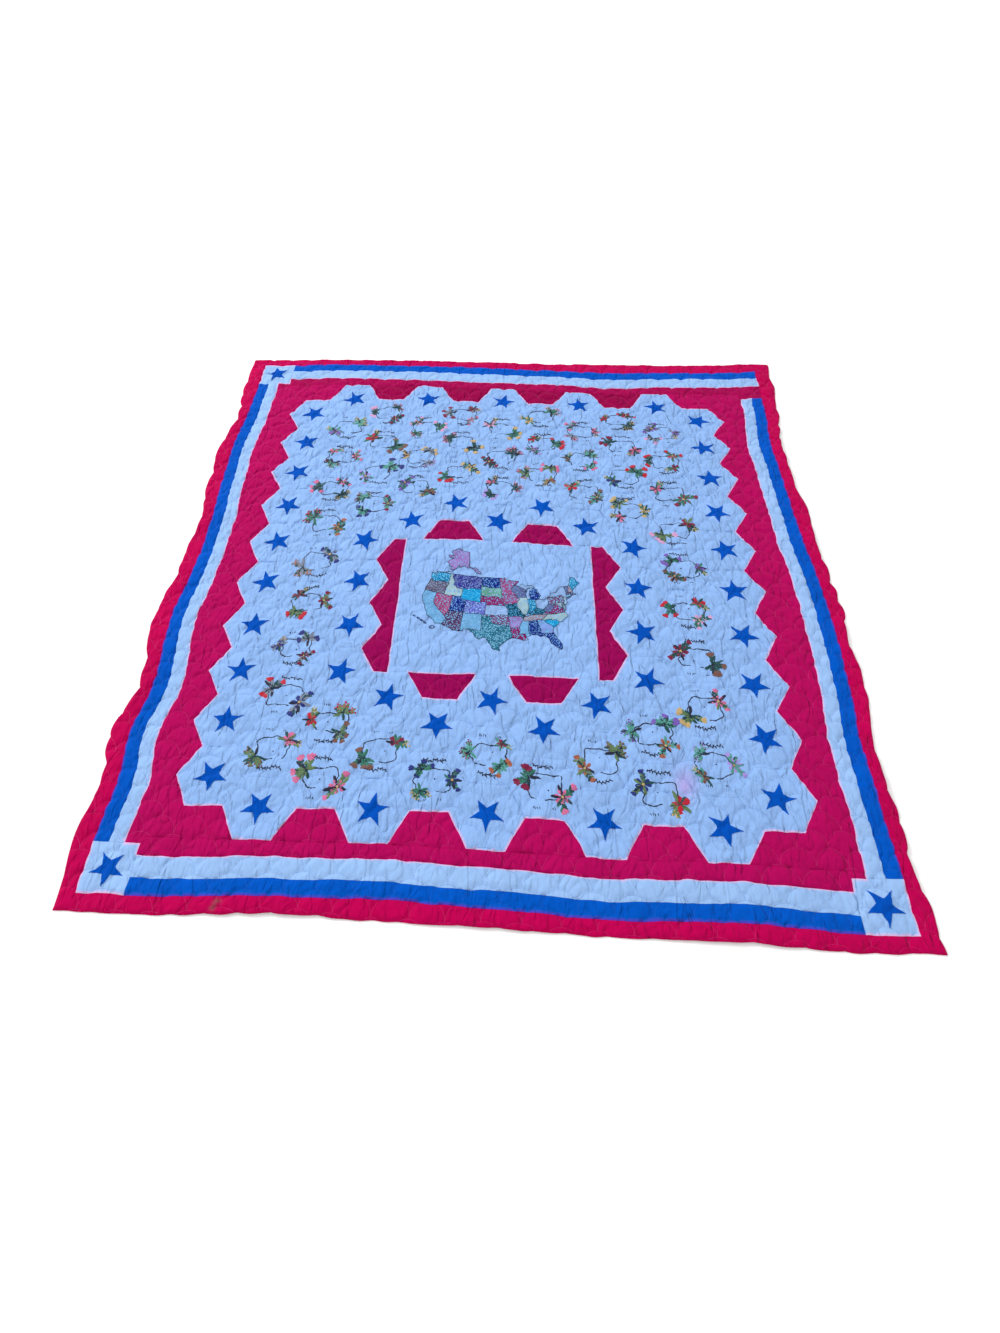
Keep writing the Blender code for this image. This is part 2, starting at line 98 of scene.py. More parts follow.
# Waves of the edges. Each row is a place along the side, the outward shifts of strip and edge
# there in hexagon sides, and the lift of the edge in metres
WAVE_COLUMNS = ("along", "strip", "edge", "lift")
WAVES = {
    "left": (
        (-11.4, -0.06, -0.10, 0.0), (-9.6, -0.05, 0.05, 0.0), (-8.1, -0.14, -0.14, 0.009),
        (-6.6, 0.06, 0.18, 0.0), (-5.0, -0.16, -0.20, 0.012), (-2.2, 0.12, 0.24, 0.0),
        (-0.6, -0.03, 0.0, 0.004), (0.5, -0.06, 0.0, 0.0), (1.7, -0.05, -0.14, 0.009),
        (3.7, 0.10, 0.16, 0.0), (5.7, 0.19, 0.25, 0.0), (7.7, 0.06, -0.04, 0.007),
        (9.6, 0.06, 0.20, 0.0), (11.4, 0.05, 0.20, 0.0),
    ),
    "right": (
        (-11.4, -0.08, -0.05, 0.0), (-10.4, -0.08, -0.08, 0.0), (-9.3, -0.10, -0.26, 0.007),
        (-8.3, -0.08, -0.15, 0.0), (-7.3, -0.12, -0.25, 0.009), (-6.2, -0.12, -0.22, 0.003),
        (-4.2, 0.05, 0.06, 0.0), (-2.6, 0.10, -0.05, 0.007), (-1.6, 0.12, 0.12, 0.0),
        (-0.2, 0.09, 0.05, 0.0), (1.4, -0.04, -0.08, 0.006), (2.5, -0.04, 0.04, 0.0),
        (4.4, -0.09, -0.17, 0.005), (6.2, -0.15, -0.22, 0.008), (8.8, 0.05, 0.10, 0.0),
        (10.3, 0.10, 0.24, 0.0), (11.4, 0.10, 0.24, 0.0),
    ),
    "near": (
        (-10.6, 0.10, 0.10, 0.0), (-8.4, 0.09, 0.09, 0.0), (-5.0, -0.06, -0.09, 0.005),
        (-2.5, -0.11, -0.06, 0.0), (0.0, -0.03, -0.04, 0.004), (3.0, 0.08, 0.02, 0.0),
        (6.0, -0.01, -0.01, 0.005), (8.6, 0.10, 0.07, 0.0), (10.6, 0.05, 0.0, 0.0),
    ),
    "far": (
        (-10.6, 0.05, 0.05, 0.0), (-8.9, 0.08, 0.10, 0.0), (-7.0, 0.18, 0.15, 0.0),
        (-4.0, 0.13, 0.10, 0.0), (-0.6, -0.04, -0.04, 0.004), (1.5, -0.14, -0.10, 0.0),
        (4.5, -0.38, -0.20, 0.006), (6.4, -0.28, -0.15, 0.0), (8.5, -0.25, -0.10, 0.0),
        (10.6, -0.12, 0.0, 0.0),
    ),
}
SIDE_SHIFT_START = 8.3
NEAR_SHIFT_START = 9.2
FAR_SHIFT_START = 5.0

# Places where the piecing is drawn along by its quilting, and how far toward the far edge
Pull = namedtuple("Pull", "u v far")
PULLS = (
    Pull(-1.5, 1.5, 0.27),
    Pull(-9.0, -2.0, -0.18),
    Pull(-9.0, 9.0, -0.18),
    Pull(-1.5, -9.0, 0.13),
    Pull(9.0, 9.0, -0.15),
)
PULL_REACH = 3.5
PULL_FADE_START = 8.7

# How the quilting draws up the seams and scallops the outer edge, in hexagon sides. The scallops
# drift in place and in size along the edge, and are sharper where they are drawn in
RIPPLE = 0.022
RIPPLE_LENGTH = 0.33
RIPPLE_SEEDS = (3.0, 8.0)
SCALLOP = 0.095
SCALLOP_LENGTH = 1.15
SCALLOP_DRIFT, SCALLOP_DRIFT_TURN = 0.5, 0.83
SCALLOP_SIZE, SCALLOP_SWAY, SCALLOP_SWAY_TURN = 0.7, 0.3, 0.57
SCALLOP_SHARPNESS = 0.7
SCALLOP_MEAN = 0.7
END_SCALLOP_SHARE = 0.4

# Smooth noise without random draws: the steps for each column, row and seed, and their scatter
HASH_STEPS = (127.1, 311.7, 74.7)
HASH_SCATTER = 43758.5453

# Mesh spacing of the cloth, in hexagon sides
STEP = 0.058
ARC_PARTS = 24
RIM_CLEARANCE = 0.032
ARC_CLEARANCE = 0.022
GRID_CLEARANCE = 0.45
SAME_POINT = 1e-6
SAME_DIGITS = 5
TINY = 1e-9
SEAM_FIT = 1e-3
MERGE_DISTANCE = 1e-7
SHARP_ANGLE = 65.0

# Relief of the cloth, in metres, and how far it reaches, in hexagon sides
PUCKER_HEIGHT = 0.0009
PUCKER_REACH = 0.17
PUCKER_START = 0.025
# Puckers along an arc: their size, how close they are and how much each arc's own number counts
PUCKER_WAVES = ((1.0, 37.0, 1.0), (0.7, 59.0, 2.3))
ARC_NUMBER_STEPS = (12.9898, 78.233)
CREASE_HEIGHT = 0.0017
CREASE_CLEARANCE = 0.12
# Creases: how far apart they are, their turn and their share
CREASES = ((0.62, 0.5, 1.0), (0.40, 1.7, 0.8), (0.27, 2.6, 0.6))
CREASE_STRETCH = (1.0, 2.0)
CREASE_SHARPNESS = 4
CREASE_MEAN = 0.7
SEAM_DEPTH = 0.0016
SEAM_REACH = 0.05
EDGE_THICKNESS = 0.0025
EDGE_REACH = 0.10
# How the arcs stray along u and along v: each wave's share, its turns along u and v, its start
ARC_WOBBLE = 0.07
WOBBLE_U = ((1.0, 1.9, 0.7, 0.0), (0.5, -1.3, 3.1, 1.0))
WOBBLE_V = ((1.0, -0.9, 1.6, 2.0), (0.5, 2.7, 1.1, 0.0))
WOBBLE_MOST = 1.5

# Sewing, in metres
QUILTING_THREAD = 0.0003
OUTLINE_THREAD = 0.0010
STAR_RISE = 0.0018
STAR_STEP = 0.045
TURNED_SHARE = 0.7
MAP_RISE = 0.0006
SHELL_DEPTH = 0.0006

Patch = namedtuple("Patch", "name outline cloth node")


def ramp(low, high, value):
    """0 up to low, 1 from high, smooth between."""
    share = np.clip((value - low) / (high - low), 0.0, 1.0)
    return share * share * (3.0 - 2.0 * share)


def wave_value(side, along, column):
    """One column of a side's waves at places along it."""
    table = np.array(WAVES[side])
    places = table[:, 0]
    values = table[:, WAVE_COLUMNS.index(column)]
    after = np.clip(np.searchsorted(places, along), 1, len(places) - 1)
    share = ramp(places[after - 1], places[after], along)
    return values[after - 1] + (values[after] - values[after - 1]) * share


def side_value(u, v, column):
    return np.where(u < 0, wave_value("left", v, column), wave_value("right", v, column))


def end_value(u, v, column):
    return np.where(v < 0, wave_value("near", u, column), wave_value("far", u, column))


def cell_v(cell):
    return (MIDDLE_CELL - cell) * CELL_PITCH


def row_u(row):
    return FIRST_ROW_U + ROW_PITCH * row


def hashed(a, b, seed):
    """A fixed number from -1 to 1 for each pair of whole numbers."""
    by_column, by_row, by_seed = HASH_STEPS
    value = np.sin(a * by_column + b * by_row + seed * by_seed) * HASH_SCATTER
    return 2.0 * (value - np.floor(value)) - 1.0


def noise(points, size, seed):
    """Smooth hills from -1 to 1, about size apart."""
    grid = points / size
    cell = np.floor(grid)
    share = ramp(0.0, 1.0, grid - cell)
    a, b = cell.T
    low = hashed(a, b, seed) * (1 - share[:, 0]) + hashed(a + 1, b, seed) * share[:, 0]
    high = hashed(a, b + 1, seed) * (1 - share[:, 0]) + hashed(a + 1, b + 1, seed) * share[:, 0]
    return low * (1 - share[:, 1]) + high * share[:, 1]


def pulled(u, v):
    """How far layout points are drawn toward the far edge, in hexagon sides."""
    shift = np.zeros(len(u))
    for pull in PULLS:
        away = np.hypot(u - pull.u, v - pull.v) / PULL_REACH
        shift += pull.far * np.exp(-(away**2))
    return shift * (1.0 - ramp(PULL_FADE_START, WHITE_IN_V, abs(v)))


def scallop(along, seed):
    """Outward shift of the outer edge, drawn in sharply where a quilting line meets it."""
    drift = SCALLOP_DRIFT * np.sin(SCALLOP_DRIFT_TURN * along + seed)
    size = SCALLOP_SIZE + SCALLOP_SWAY * np.sin(SCALLOP_SWAY_TURN * along + 2.0 * seed)
    bow = np.abs(np.sin(math.pi * (along / SCALLOP_LENGTH + drift))) ** SCALLOP_SHARPNESS
    return SCALLOP * size * (bow - SCALLOP_MEAN)


def spread_out(points):
    """Plan positions in metres of layout points from the layout's middle."""
    u, v = points.T
    ripple = np.column_stack([noise(points, RIPPLE_LENGTH, seed) for seed in RIPPLE_SEEDS])
    side_strip = side_value(u, v, "strip")
    end_strip = end_value(u, v, "strip")
    end_start = np.where(v < 0, NEAR_SHIFT_START, FAR_SHIFT_START)
    out_u = side_strip * ramp(SIDE_SHIFT_START, WHITE_IN_U, abs(u))
    side_edge = side_value(u, v, "edge") - side_strip + scallop(v, np.sign(u))
    out_u += side_edge * ramp(BLUE_OUT_U, EDGE_U, abs(u))
    out_v = end_strip * ramp(end_start, WHITE_IN_V, abs(v))
    end_edge = end_value(u, v, "edge") - end_strip + END_SCALLOP_SHARE * scallop(u, np.sign(v))
    out_v += end_edge * ramp(BLUE_OUT_V, EDGE_V, abs(v))
    moved = np.stack([u + np.sign(u) * out_u, v + np.sign(v) * out_v + pulled(u, v)], axis=1)
    return (moved + RIPPLE * ripple) * HEX_SIDE


def layout_shift():
    """From the layout's middle to the frame's origin, found from the centre panel's solid."""
    low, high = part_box("centre_panel")
    across = np.linspace(-PANEL_HALF_WIDTH, PANEL_HALF_WIDTH, PANEL_PROBES)
    ends = [np.column_stack([across, np.full(len(across), cell_v(cell))])
            for cell in (PANEL_FAR_CELL, PANEL_NEAR_CELL)]
    plan = spread_out(np.concatenate(ends))
    return (np.add(low, high)[:2] - plan.min(axis=0) - plan.max(axis=0)) / 2


SHIFT = layout_shift()


def place(points):
    """Plan positions in metres of layout points, in the frame."""
    return spread_out(points) + SHIFT


def lift(points):
    """Height of the underside above the floor, in metres."""
    u, v = points.T
    side = side_value(u, v, "lift") * ramp(WHITE_IN_U, EDGE_U, abs(u))
    end = end_value(u, v, "lift") * ramp(WHITE_IN_V, EDGE_V, abs(v))
    return np.maximum(side, end)


def turned(points, angle):
    c, s = math.cos(angle), math.sin(angle)
    return points @ np.array([[c, s], [-s, c]])


def wobble(points):
    """How far the quilting strays from its even arcs, in hexagon sides."""
    u, v = points.T
    off = [
        sum(share * np.sin(by_u * u + by_v * v + start) for share, by_u, by_v, start in waves)
        for waves in (WOBBLE_U, WOBBLE_V)
    ]
    return np.stack(off, axis=1) * (ARC_WOBBLE / WOBBLE_MOST)


def nearest_arc(points):
    """Distance to the nearest quilting arc, the place along it and its own number."""
    even = points - wobble(points - wobble(points))
    u, v = even.T
    band = np.floor(v / ARC_RADIUS)
    by_row, by_arc = ARC_NUMBER_STEPS
    nearest = np.full(len(u), ARC_RADIUS)
    along = np.zeros(len(u))
    own = np.zeros(len(u))
    for row in (band - 1, band):
        start = ARC_RADIUS * (row % 2)
        number = np.floor((u - start) / (2 * ARC_RADIUS))
        for arc in (number, number + 1):
            off_u = u - start - 2 * ARC_RADIUS * arc
            off_v = v - row * ARC_RADIUS
            away = np.abs(np.hypot(off_u, off_v) - ARC_RADIUS)
            closer = away < nearest
            nearest = np.where(closer, away, nearest)
            along = np.where(closer, np.arctan2(off_v, off_u) * ARC_RADIUS, along)
            own = np.where(closer, row * by_row + arc * by_arc, own)
    return nearest, along, own


def puckers(distance, along, own):
    """Small gathers that the stitching draws up, square to each arc."""
    held = 1.0 - np.exp(-((distance / PUCKER_START) ** 2))
    fading = 1.0 - ramp(0.0, PUCKER_REACH, distance)
    waves = sum(size * np.sin(along * turn + own * start) for size, turn, start in PUCKER_WAVES)
    return PUCKER_HEIGHT * held * fading * waves


def creases(points, distance):
    """Soft short creases across the padding, as the cloth lies after washing."""
    found = np.zeros(len(points))
    for size, angle, share in CREASES:
        hills = noise(turned(points, angle) * CREASE_STRETCH, size, angle)
        found += share * (1.0 - np.abs(hills)) ** CREASE_SHARPNESS
    return CREASE_HEIGHT * ramp(0.0, CREASE_CLEARANCE, distance) * (found - CREASE_MEAN)


def surface(points):
    """Height of the cloth's top above the floor, apart from seams and the outer edge."""
    u, v = points.T
    distance, along, own = nearest_arc(points)
    fullness = 1.0 - (1.0 - np.clip(distance / ARC_TO_CROWN, 0.0, 1.0)) ** FULLNESS
    first, second = (by_u * u + by_v * v for by_u, by_v in UNEVEN_TURNS)
    uneven = 1.0 - UNEVEN * (0.5 + 0.5 * np.sin(first) * np.cos(second))
    thick = LINE_THICKNESS + (CROWN_THICKNESS - LINE_THICKNESS) * fullness * uneven
    thick += puckers(distance, along, own) + creases(points, distance)
    edge = np.minimum(EDGE_U - abs(u), EDGE_V - abs(v))
    rounding = np.sqrt(1.0 - (1.0 - np.clip(edge / EDGE_REACH, 0.0, 1.0)) ** 2)
    return lift(points) + EDGE_THICKNESS + (thick - EDGE_THICKNESS) * rounding


def rectangle(low_u, high_u, low_v, high_v):
    return [(low_u, low_v), (high_u, low_v), (high_u, high_v), (low_u, high_v)]


def trapezoid(middle_u, wide_v, narrow_v):
    """The red piece between two hexagon points: two sides wide at wide_v and one at narrow_v."""
    wide = [(middle_u - 1.0, wide_v), (middle_u + 1.0, wide_v)]
    points = wide + [(middle_u + 0.5, narrow_v), (middle_u - 0.5, narrow_v)]
    return points if narrow_v > wide_v else points[::-1]


def hexagon(u, cell):
    far, middle, near = cell_v(cell - 0.5), cell_v(cell), cell_v(cell + 0.5)
    left = [(u - 0.5, far), (u - 1.0, middle), (u - 0.5, near)]
    return left + [(u + 0.5, near), (u + 1.0, middle), (u + 0.5, far)]


def hexagon_edge(u, far, near, side):
    """Corners and tips down one side of a row of hexagons, from its far end to its near end."""
    points = [(u + 0.5 * side, cell_v(far))]
    for step in range(round(near - far)):
        points.append((u + side, cell_v(far + step + 0.5)))
        points.append((u + 0.5 * side, cell_v(far + step + 1)))
    return points


def cell_key(row, cell):
    """A hexagon's row and place in it, as its pieces' names have them."""
    return f"{row + 1:02d}_{round(cell * 2):02d}"


def hexagon_cells():
    """Every hexagon as its row, its cell and the solid that it is part of."""
    cells = []
    for row in range(ROW_COUNT):
        first = 1.0 if row % 2 == 0 else 0.5
        name = f"hexagon_row_{row + 1:02d}"
        for step in range(round(2 * (MIDDLE_CELL - first)) + 1):
            cell = first + step
            if row not in OPENING:
                cells.append((row, cell, name))
            elif cell < OPENING[row][0]:
                cells.append((row, cell, name + "_far"))
            elif cell > OPENING[row][1]:
                cells.append((row, cell, name + "_near"))
    return cells


def hexagon_patches():
    return [
        Patch("hexagon_" + cell_key(row, cell), hexagon(row_u(row), cell), "white", node)
        for row, cell, node in hexagon_cells()
    ]


def own_patches(cloth, outlines):
    """Patches that each stand for the solid of their own name."""
    return [Patch(name + "_cloth", outline, cloth, name) for name, outline in outlines.items()]


def centre_side(side):
    """The zigzag red piece between the centre panel and the hexagons beside it."""
    beside = row_u(2 if side < 0 else 8)
    zigzag = hexagon_edge(beside, PANEL_FAR_CELL - 0.5, PANEL_NEAR_CELL + 0.5, -side)[1:-1]
    inner = side * PANEL_HALF_WIDTH
    outline = zigzag + [(inner, cell_v(PANEL_NEAR_CELL)), (inner, cell_v(PANEL_FAR_CELL))]
    return outline if side < 0 else outline[::-1]


def centre_patches():
    far = cell_v(PANEL_FAR_CELL)
    near = cell_v(PANEL_NEAR_CELL)
    panel = rectangle(-PANEL_HALF_WIDTH, PANEL_HALF_WIDTH, near, far)
    reds = {}
    for number, row in enumerate(CENTRE_RED_ROWS, start=1):
        far_cell, near_cell = OPENING[row]
        reds[f"centre_red_far_{number}"] = trapezoid(row_u(row), far, cell_v(far_cell))
        reds[f"centre_red_near_{number}"] = trapezoid(row_u(row), near, cell_v(near_cell))
    reds["centre_red_left"] = centre_side(-1)
    reds["centre_red_right"] = centre_side(1)
    return own_patches("white", {"centre_panel": panel}) + own_patches("red", reds)


def ground_side(side):
    """The red ground left or right of the hexagons, with their zigzag as its inner edge."""
    end_row = 0 if side < 0 else ROW_COUNT - 1
    zigzag = hexagon_edge(row_u(end_row), 0.5, 10.5, side)
    turn = row_u(end_row) - 0.5 * side
    corner = row_u(end_row) - side
    outline = [(side * WHITE_IN_U, ARRAY_V), (side * WHITE_IN_U, -ARRAY_V), (corner, -ARRAY_V)]
    outline += [(turn, zigzag[-1][1])] + zigzag[::-1] + [(turn, zigzag[0][1]), (corner, ARRAY_V)]
    return outline if side < 0 else outline[::-1]


def ground_patches():
    near = [
        (-WHITE_IN_U, -ARRAY_V), (-WHITE_IN_U, -SQUARE_V), (-SQUARE_U, -SQUARE_V),
        (-SQUARE_U, -WHITE_IN_V), (SQUARE_U, -WHITE_IN_V), (SQUARE_U, -SQUARE_V),
        (WHITE_IN_U, -SQUARE_V), (WHITE_IN_U, -ARRAY_V),
    ]
    far = [
        (-WHITE_IN_U, ARRAY_V), (WHITE_IN_U, ARRAY_V), (WHITE_IN_U, FAR_RIGHT_STRIP_END),
        (BLUE_OUT_U, FAR_RIGHT_STRIP_END), (BLUE_OUT_U, WHITE_IN_V), (-SQUARE_U, WHITE_IN_V),
        (-SQUARE_U, SQUARE_V), (-WHITE_IN_U, SQUARE_V),
    ]
    grounds = {
        "ground_left": ground_side(-1),
        "ground_right": ground_side(1),
        "ground_near": near,
        "ground_far": far,
    }
    for number, row in enumerate(range(2, ROW_COUNT - 1, 2), start=1):
        grounds[f"ground_tooth_near_{number}"] = trapezoid(row_u(row), -ARRAY_V, cell_v(10.5))
        grounds[f"ground_tooth_far_{number}"] = trapezoid(row_u(row), ARRAY_V, cell_v(0.5))
    return own_patches("red", grounds)


def strip_patches():
    bands = {
        "white": (WHITE_IN_U, BLUE_IN_U, WHITE_IN_V, BLUE_IN_V),
        "blue": (BLUE_IN_U, BLUE_OUT_U, BLUE_IN_V, BLUE_OUT_V),
    }
    patches = []
    for cloth, (in_u, out_u, in_v, out_v) in bands.items():
        patches += own_patches(cloth, {
            cloth + "_strip_left": rectangle(-out_u, -in_u, -SQUARE_V, SQUARE_V),
            cloth + "_strip_right": rectangle(in_u, out_u, -SQUARE_V, FAR_RIGHT_STRIP_END),
            cloth + "_strip_near": rectangle(-SQUARE_U, SQUARE_U, -out_v, -in_v),
            cloth + "_strip_far": rectangle(-SQUARE_U, BLUE_OUT_U, in_v, out_v),
        })
    return patches


def corner_patches():
    return own_patches("white", {
        "corner_square_near_left": rectangle(-BLUE_OUT_U, -SQUARE_U, -BLUE_OUT_V, -SQUARE_V),
        "corner_square_near_right": rectangle(SQUARE_U, BLUE_OUT_U, -BLUE_OUT_V, -SQUARE_V),
        "corner_square_far_left": rectangle(-BLUE_OUT_U, -SQUARE_U, SQUARE_V, BLUE_OUT_V),
    })


def border_patches():
    return own_patches("red", {
        "border_left": rectangle(-EDGE_U, -BLUE_OUT_U, -EDGE_V, EDGE_V),
        "border_right": rectangle(BLUE_OUT_U, EDGE_U, -EDGE_V, EDGE_V),
        "border_near": rectangle(-BLUE_OUT_U, BLUE_OUT_U, -EDGE_V, -BLUE_OUT_V),
        "border_far": rectangle(-BLUE_OUT_U, BLUE_OUT_U, BLUE_OUT_V, EDGE_V),
    })


def around(face):
    """The face's edges, each as its first and second corner."""
    return list(zip(face, face[1:] + face[:1]))


def share_along(point, start, end):
    """Where a point lies on the edge from start to end, or None if it is off that edge."""
    along_u = end[0] - start[0]
    along_v = end[1] - start[1]
    length = math.hypot(along_u, along_v)
    off_u = point[0] - start[0]
    off_v = point[1] - start[1]
    share = (off_u * along_u + off_v * along_v) / length**2
    aside = abs(off_u * along_v - off_v * along_u) / length
    inside = SAME_POINT < share < 1.0 - SAME_POINT
    return share if inside and aside < SAME_POINT else None


def even_steps(start, end):
    """Points from start up to but not including end, the same whichever way the edge is walked."""
    count = math.ceil(math.dist(start, end) / STEP - SAME_POINT)
    low, high = sorted((start, end))
    line = [
        (low[0] + (high[0] - low[0]) * i / count, low[1] + (high[1] - low[1]) * i / count)
        for i in range(count + 1)
    ]
    return line[:-1] if start == low else line[:0:-1]


def rim_of(outline, corners=()):
    """The outline with its neighbours' corners added and its edges parted evenly."""
    rim = []
    for start, end in around(outline):
        stops = {0.0: start, 1.0: end}
        for corner in corners:
            share = share_along(corner, start, end)
            if share is not None:
                stops[share] = corner
        line = [stops[share] for share in sorted(stops)]
        for low, high in zip(line, line[1:]):
            rim += even_steps(low, high)
    return rim


def rim_distance(points, outline):
    """Distance of layout points to the outline, negative outside it."""
    nearest = np.full(len(points), np.inf)
    inside = np.zeros(len(points), dtype=bool)
    for start, end in around(outline):
        first = np.array(start)
        along = np.array(end) - first
        off = points - first
        share = np.clip(off @ along / (along @ along), 0.0, 1.0)
        apart = off - share[:, None] * along
        nearest = np.minimum(nearest, np.hypot(apart[:, 0], apart[:, 1]))
        if along[1] != 0.0:
            crossing = start[0] + along[0] * (points[:, 1] - start[1]) / along[1]
            level = (start[1] > points[:, 1]) != (end[1] > points[:, 1])
            inside ^= level & (crossing > points[:, 0])
    return np.where(inside, nearest, -nearest)


def arcs_over(outline):
    """Points along each quilting arc in the outline's box, as (arcs, points, 2)."""
    low = np.min(outline, axis=0) - 2 * ARC_WOBBLE
    high = np.max(outline, axis=0) + 2 * ARC_WOBBLE
    angles = np.linspace(0.0, math.pi, ARC_PARTS + 1)
    shape = np.stack([np.cos(angles), np.sin(angles)], axis=1) * ARC_RADIUS
    arcs = []
    for row in range(math.floor(low[1] / ARC_RADIUS) - 1, math.ceil(high[1] / ARC_RADIUS) + 1):
        start = ARC_RADIUS * (row % 2)
        first = math.floor((low[0] - start) / (2 * ARC_RADIUS)) - 1
        last = math.ceil((high[0] - start) / (2 * ARC_RADIUS)) + 1
        for number in range(first, last + 1):
            arc = shape + (start + 2 * ARC_RADIUS * number, row * ARC_RADIUS)
            arcs.append(arc + wobble(arc))
    return np.array(arcs)


def quilting_lines(outline):
    """Stretches of quilting arc inside an outline, each an array of layout points."""
    arcs = arcs_over(outline)
    middles = (arcs[:, 1:] + arcs[:, :-1]) / 2
    kept = rim_distance(arcs.reshape(-1, 2), outline).reshape(arcs.shape[:2]) > ARC_CLEARANCE
    open_way = rim_distance(middles.reshape(-1, 2), outline).reshape(middles.shape[:2])
    joined = kept[:, 1:] & kept[:, :-1] & (open_way > ARC_CLEARANCE)
    lines = []
    for arc, links in zip(arcs, joined):
        line = []
        for i, link in enumerate(links):
            if link:
                line = line or [arc[i]]
                line.append(arc[i + 1])
            if line and (not link or i == len(links) - 1):
                lines.append(np.array(line))
                line = []
    return lines


def grid_inside(outline, step):
    """Evenly spread layout points inside an outline, clear of its rim and of the arcs."""
    low = np.min(outline, axis=0)
    high = np.max(outline, axis=0)
    rise = step * math.sqrt(3) / 2
    rows = np.arange(math.ceil(low[1] / rise), math.floor(high[1] / rise) + 1)
    columns = np.arange(math.floor(low[0] / step) - 1, math.ceil(high[0] / step) + 1)
    column, row = np.meshgrid(columns, rows)
    points = np.stack([(column + 0.5 * (row % 2)) * step, row * rise], axis=-1).reshape(-1, 2)
    points = points[rim_distance(points, outline) > RIM_CLEARANCE]
    return points[nearest_arc(points)[0] > GRID_CLEARANCE * step]


def triangles_inside(plan, rim_count, extra_edges):
    """Triangles of plan points within the rim, which is the first rim_count of them."""
    rim = set(around(list(range(rim_count))))
    spots = [Vector(spot) for spot in plan]
    result = delaunay_2d_cdt(spots, list(rim) + extra_edges, [], 0, MERGE_DISTANCE, True)
    faces, sources = result[2], result[3]
    first = [source[0] for source in sources]
    triangles = [[first[corner] for corner in face] for face in faces]
    owner = {edge: number for number, face in enumerate(triangles) for edge in around(face)}
    waiting = [owner[edge] for edge in rim]
    inside = set()
    while waiting:
        number = waiting.pop()
        if number not in inside:
            inside.add(number)
            for a, b in around(triangles[number]):
                if (a, b) not in rim:
                    waiting.append(owner[(b, a)])
    return [triangles[number] for number in sorted(inside)]


def inset(plan, distance):
    """The closed outline moved inwards, in metres."""
    before = plan - np.roll(plan, 1, axis=0)
    after = np.roll(plan, -1, axis=0) - plan
    before /= np.linalg.norm(before, axis=1)[:, None]
    after /= np.linalg.norm(after, axis=1)[:, None]
    inward = np.stack([-before[:, 1] - after[:, 1], before[:, 0] + after[:, 0]], axis=1)
    return plan + inward * (distance / (1.0 + np.sum(before * after, axis=1)))[:, None]


def mesh_points(outline, rim, step):
    """Layout points that fill a rim, the rim's first, and the edges along each quilting arc."""
    points = [tuple(point) for point in rim]
    numbers = {}
    edges = []
    for line in quilting_lines(outline):
        chain = []
        for point in line:
            key = (round(point[0], SAME_DIGITS), round(point[1], SAME_DIGITS))
            if key not in numbers:
                numbers[key] = len(points)
                points.append(tuple(point))
            chain.append(numbers[key])
        edges += list(zip(chain, chain[1:]))
    points += [tuple(point) for point in grid_inside(outline, step)]
    return np.array(points), edges


def closed(count, total, top, under):
    """Faces of a flat body: its top, its underside from vertex total on, and its rim of count."""
    faces = top + [[total + corner for corner in reversed(face)] for face in under]
    return faces + [[a, total + a, total + b, b] for a, b in around(list(range(count)))]


def add_object(name, data):
    made = bpy.data.objects.new(name, data)
    bpy.context.scene.collection.objects.link(made)
    return made


def new_piece(name, verts, faces, materials):
    mesh = bpy.data.meshes.new(name)
    mesh.from_pydata([tuple(vert) for vert in verts], [], faces)
    mesh.shade_smooth()
    mesh.set_sharp_from_angle(angle=math.radians(SHARP_ANGLE))
    for material in materials:
        mesh.materials.append(material)
    made = add_object(name, mesh)
    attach(made, "root")
    return made


def cotton_of(patch):
    """The entry of COTTONS that a patch takes its colour from."""
    for name, cotton in COTTONS.items():
        if cotton.patches and patch.name.startswith(cotton.patches):
            return name
    return patch.cloth


def mark(made, name, values):
    """Gives the first vertices a value each that the cloth's material reads, and the others 0."""
    marks = made.data.attributes.new(name, "FLOAT", "POINT")
    every = np.zeros(len(made.data.vertices))
    every[: len(values)] = values
    marks.data.foreach_set("value", every)


def stained(points):
    """How strongly something has stained the cloth at each point."""
    share = np.zeros(len(points))
    for stain in STAINS:
        off_u = (points[:, 0] - stain.u) / stain.across
        off_v = (points[:, 1] - stain.v) / stain.away
        share += stain.strength * np.exp(-(off_u**2) - off_v**2)
    return share


def beside_red(rim, reds):
    """Which points of a rim lie at a seam with red cloth."""
    near_red = np.zeros(len(rim), dtype=bool)
    for red in reds:
        near_red |= np.abs(rim_distance(np.array(rim), red.outline)) < SEAM_FIT
    return near_red


def make_patch(patch, corners, reds, materials):
    """A patch of quilted cloth: its top has the quilting and its seams, its back is plain."""
    rim = rim_of(patch.outline, corners)
    count = len(rim)
    points, edges = mesh_points(patch.outline, rim, STEP)
    plan = place(points)
    plan[:count] = inset(plan[:count], SEAM_GAP / 2)
    depth = np.clip(rim_distance(points, patch.outline), 0.0, None)
    outer = np.minimum(EDGE_U - abs(points[:, 0]), EDGE_V - abs(points[:, 1]))
    seam = np.exp(-((depth / SEAM_REACH) ** 2)) * ramp(0.0, 2 * EDGE_REACH, outer)
    verts = np.concatenate([
        np.column_stack([plan, surface(points) - SEAM_DEPTH * seam]),
        np.column_stack([plan[:count], lift(points[:count])]),
    ])
    top = triangles_inside(plan, count, edges)
    under = triangles_inside(plan[:count], count, [])
    faces = closed(count, len(points), top, under)
    made = new_piece(patch.name, verts, faces, [materials[cotton_of(patch)]])
    mark(made, "stain", stained(points))
    # White and blue cloth gets a painted highlight along its rim where it meets red cloth, tinted
    # pink by the red seam allowance under it
    if patch.cloth != "red":
        mark(made, "seam_tint", SEAM_EDGE_HIGHLIGHT_SHARE * beside_red(rim, reds))
    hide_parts(patch.node)
    return made


